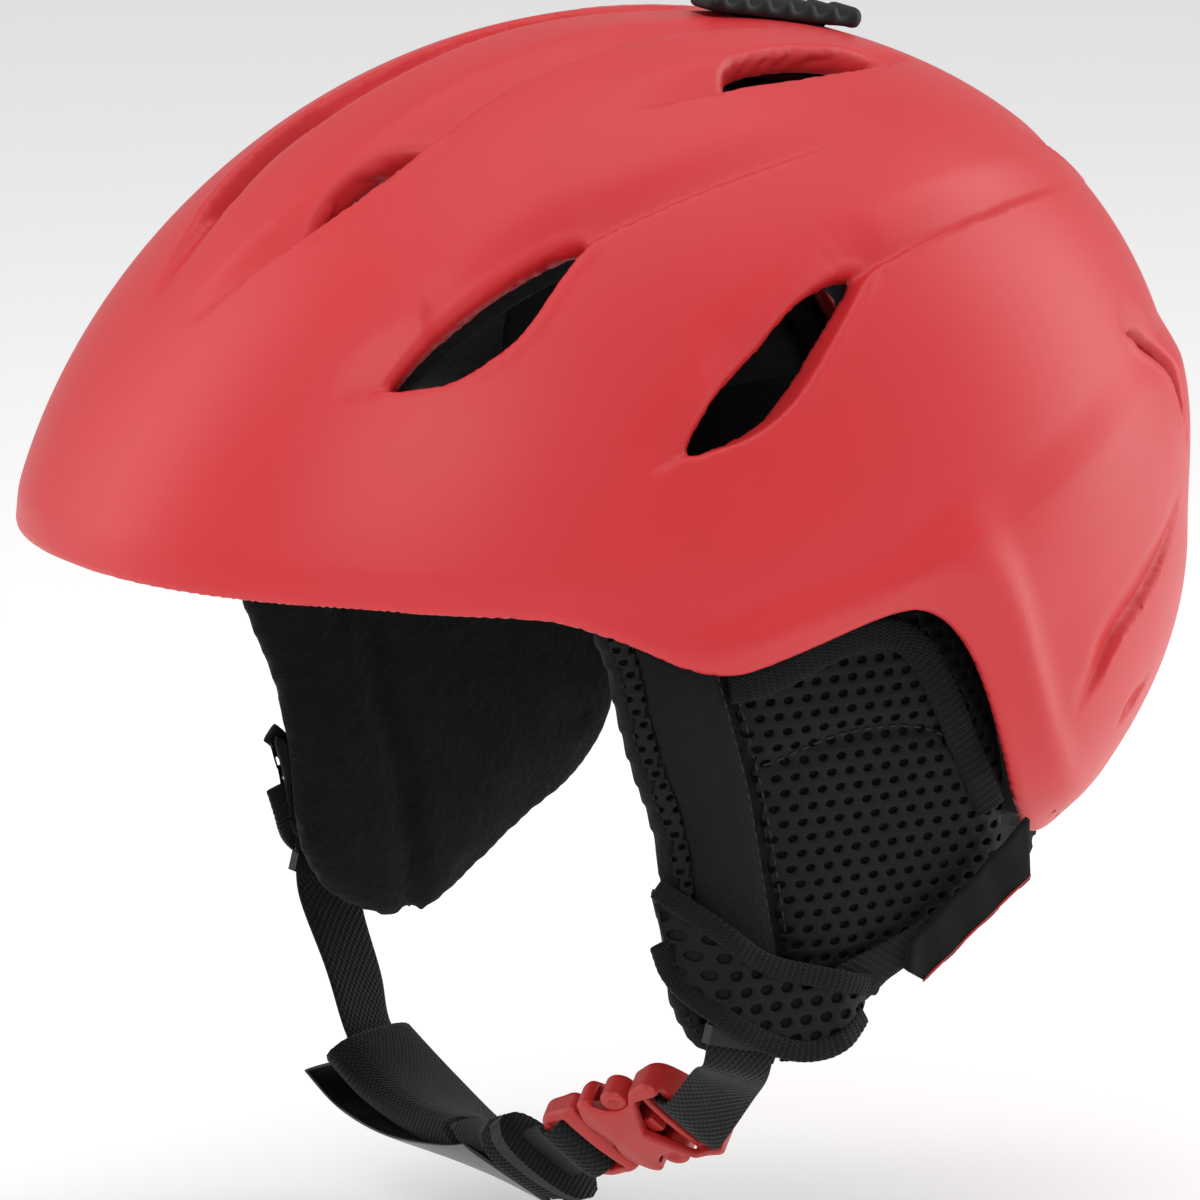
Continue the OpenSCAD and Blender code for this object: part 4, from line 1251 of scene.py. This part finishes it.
MATERIALS = {
    "shell": shell_paint(),
    "foam": bead_foam(),
    "fleece": fleece(),
    "spacer_mesh": moulded("spacer_mesh", (0.005, 0.005, 0.006), 0.6, 1600, 0.3, 0.16),
    "mesh_plastic": moulded("mesh_plastic", (0.006, 0.006, 0.007), 0.5, 1500, 0.2, 0.2),
    "twill": woven("twill", (0.0065, 0.0065, 0.0075), 0.9, 0.7, 0.5, 0.72, use_uv=False),
    "binding": woven("binding", (0.0065, 0.0065, 0.007), 1.6, 0.8, 0.5, 0.7),
    "webbing": woven("webbing", (0.009, 0.009, 0.010), 1.9, 1.5, 0.9, 0.6),
    "knit": woven("knit", (0.0065, 0.0065, 0.007), 1.5, 1.2, 0.6, 0.85, sheen=0.1),
    "thread": moulded("thread", (0.012, 0.012, 0.013), 0.55, 2500, 0.3, 0.3),
    "red_thread": moulded("red_thread", (0.45, 0.03, 0.03), 0.6, 2500, 0.3),
    "buckle": moulded("buckle", (0.46, 0.02, 0.017), 0.40, 1100, 0.08),
    "glossy_rubber": moulded("glossy_rubber", (0.005, 0.005, 0.006), 0.28, 500, 0.06),
    "rubber": moulded("rubber", (0.007, 0.007, 0.008), 0.5, 900, 0.15, 0.3),
    "plastic": moulded("plastic", (0.008, 0.008, 0.009), 0.42, 800, 0.12, 0.3),
    "nylon": moulded("nylon", (0.58, 0.57, 0.54), 0.45, 700, 0.1),
    "steel": steel(),
}
RECORD_SLOT = {"thread": "binding", "red_thread": "twill", "glossy_rubber": "rubber"}


def paint(obj, material):
    obj.data.materials.clear()
    obj.data.materials.append(MATERIALS[material])


WEB_BEND = (-0.0865, -0.0168, -0.102), (-0.072, -0.0165, -0.1255)


def add(obj, material, node, body):
    """Paints a piece, fastens it to its body and hides the CAD node it stands for; a piece given two bodies
    is only baked in place, fastened to neither.
    """
    paint(obj, material)
    RECORD_SLOT.get(material, material)
    if isinstance(body, tuple):
        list(body)
        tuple(WEB_BEND[0])
        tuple(WEB_BEND[1])
        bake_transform(obj)
    else:
        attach(obj, body)
    if node:
        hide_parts(node)


# ---------------------------------------------------------------- assembly

shell = field_mesh("shell", shell_field, (-108, -132, -70), (108, 130, 106), STEP, rounds=3)
add(shell, "shell", "outer_shell", "helmet")
liner = field_mesh("liner", liner_field, (-104, -128, -66), (104, 126, 102), 2.0)
add(liner, "foam", "foam_liner", "helmet")

for mesh_piece in vent_mesh_pieces():
    add(mesh_piece, "mesh_plastic", "vent_mesh", "helmet")
slider = field_mesh("slider", slider_field, (-8, 18, 84), (8, 66, 108), 0.6)
add(slider, "rubber", "vent_slider", "vent_control")
goggle = field_mesh("goggle_strap", goggle_field, (-12, 124, -38), (12, 131, 10), 0.6)
add(goggle, "webbing", "goggle_strap", "goggle_clip")
for piece in strap_pieces():
    add(*piece)

pads = {side: ear_pieces(side) for side in (1, -1)}
cushions = [(cushion_source(node), voxel, cap, None) for node, _, voxel, cap in CUSHIONS]
for side in (1, -1):
    core = pads[side][0][0]
    cushions.append((core, 0, EAR_SWELL, under_mesh))
inflate(cushions)
for (obj, _, _, _), (node, body, _, _) in zip(cushions, CUSHIONS):
    add(obj, "fleece", node, body)
for side in (1, -1):
    for piece in pads[side]:
        add(*piece)

KEPT = {
    "plastic": ["slider_frame", "vent_shutter", "strap_anchors", "ear_mount_left", "ear_mount_right",
                "fit_hanger", "fit_yoke", "dial_housing", "goggle_clip_base", "strap_keeper_left",
                "strap_keeper_right", "fit_band_left", "fit_band_right"],
    "twill": ["hook_tabs"],
    "rubber": ["dial_knob"],
    "nylon": ["dial_pinion"],
    "steel": ["housing_screws", "goggle_snap_stud", "goggle_snap_cap"],
}
for material, nodes in KEPT.items():
    for node in nodes:
        paint(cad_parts[node], material)

# ---------------------------------------------------------------- stage

FLOOR_Z = -0.162


def stage_parts():
    far = 3.0 / MM
    corners = [(-far, -far), (far, -far), (far, far), (-far, far)]
    floor = new_mesh("floor", [(x, y, FLOOR_Z / MM) for x, y in corners], [(0, 1, 2, 3)])
    n = Nodes("floor_paint")
    white = (1, 1, 1, 1)
    paper = n.finish((0.9, 0.9, 0.9, 1), 0.7, emission_color=white, emission_strength=0.22)
    floor.data.materials.append(paper)


def area_light(name, place, size, power):
    """Lamp at a place in metres, aimed at the origin."""
    data = bpy.data.lights.new(name, "AREA")
    data.shape = "RECTANGLE"
    data.size, data.size_y = size
    data.energy = power
    obj = bpy.data.objects.new(name, data)
    obj.location = place
    obj.rotation_euler = (Vector() - Vector(place)).to_track_quat("-Z", "Y").to_euler()
    bpy.context.scene.collection.objects.link(obj)


def studio():
    world = bpy.data.worlds.new("studio")
    world.use_nodes = True
    tree = world.node_tree
    rays = tree.nodes.new("ShaderNodeLightPath")
    level = tree.nodes.new("ShaderNodeMapRange")
    tree.links.new(rays.outputs["Is Camera Ray"], level.inputs["Value"])
    level.inputs["To Min"].default_value = 0.46
    level.inputs["To Max"].default_value = 0.96
    background = tree.nodes["Background"]
    background.inputs["Color"].default_value = (1, 1, 1, 1)
    tree.links.new(level.outputs["Result"], background.inputs["Strength"])
    bpy.context.scene.world = world
    area_light("key", (0.75, -0.9, 0.85), (0.9, 0.9), 7)
    area_light("rim_left", (-0.65, -0.75, 0.45), (0.5, 1.0), 3)
    area_light("rim_right", (0.25, 1.0, 0.35), (0.6, 1.1), 6)
    area_light("top", (0, 0.1, 1.2), (1.2, 1.2), 5)


def camera():
    data = bpy.data.cameras.new("camera")
    data.sensor_width = 36
    data.lens = 431.1
    data.shift_y = -0.0825
    data.clip_end = 30
    obj = bpy.data.objects.new("camera", data)
    turn, lift, distance = math.radians(60), math.radians(12), 3.0
    back = Vector((math.cos(lift) * math.sin(turn), -math.cos(lift) * math.cos(turn), math.sin(lift)))
    obj.location = back * distance
    obj.rotation_euler = (-back).to_track_quat("-Z", "Y").to_euler()
    bpy.context.scene.collection.objects.link(obj)
    bpy.context.scene.camera = obj


stage_parts()
studio()
camera()
bpy.context.scene.view_settings.view_transform = "Standard"
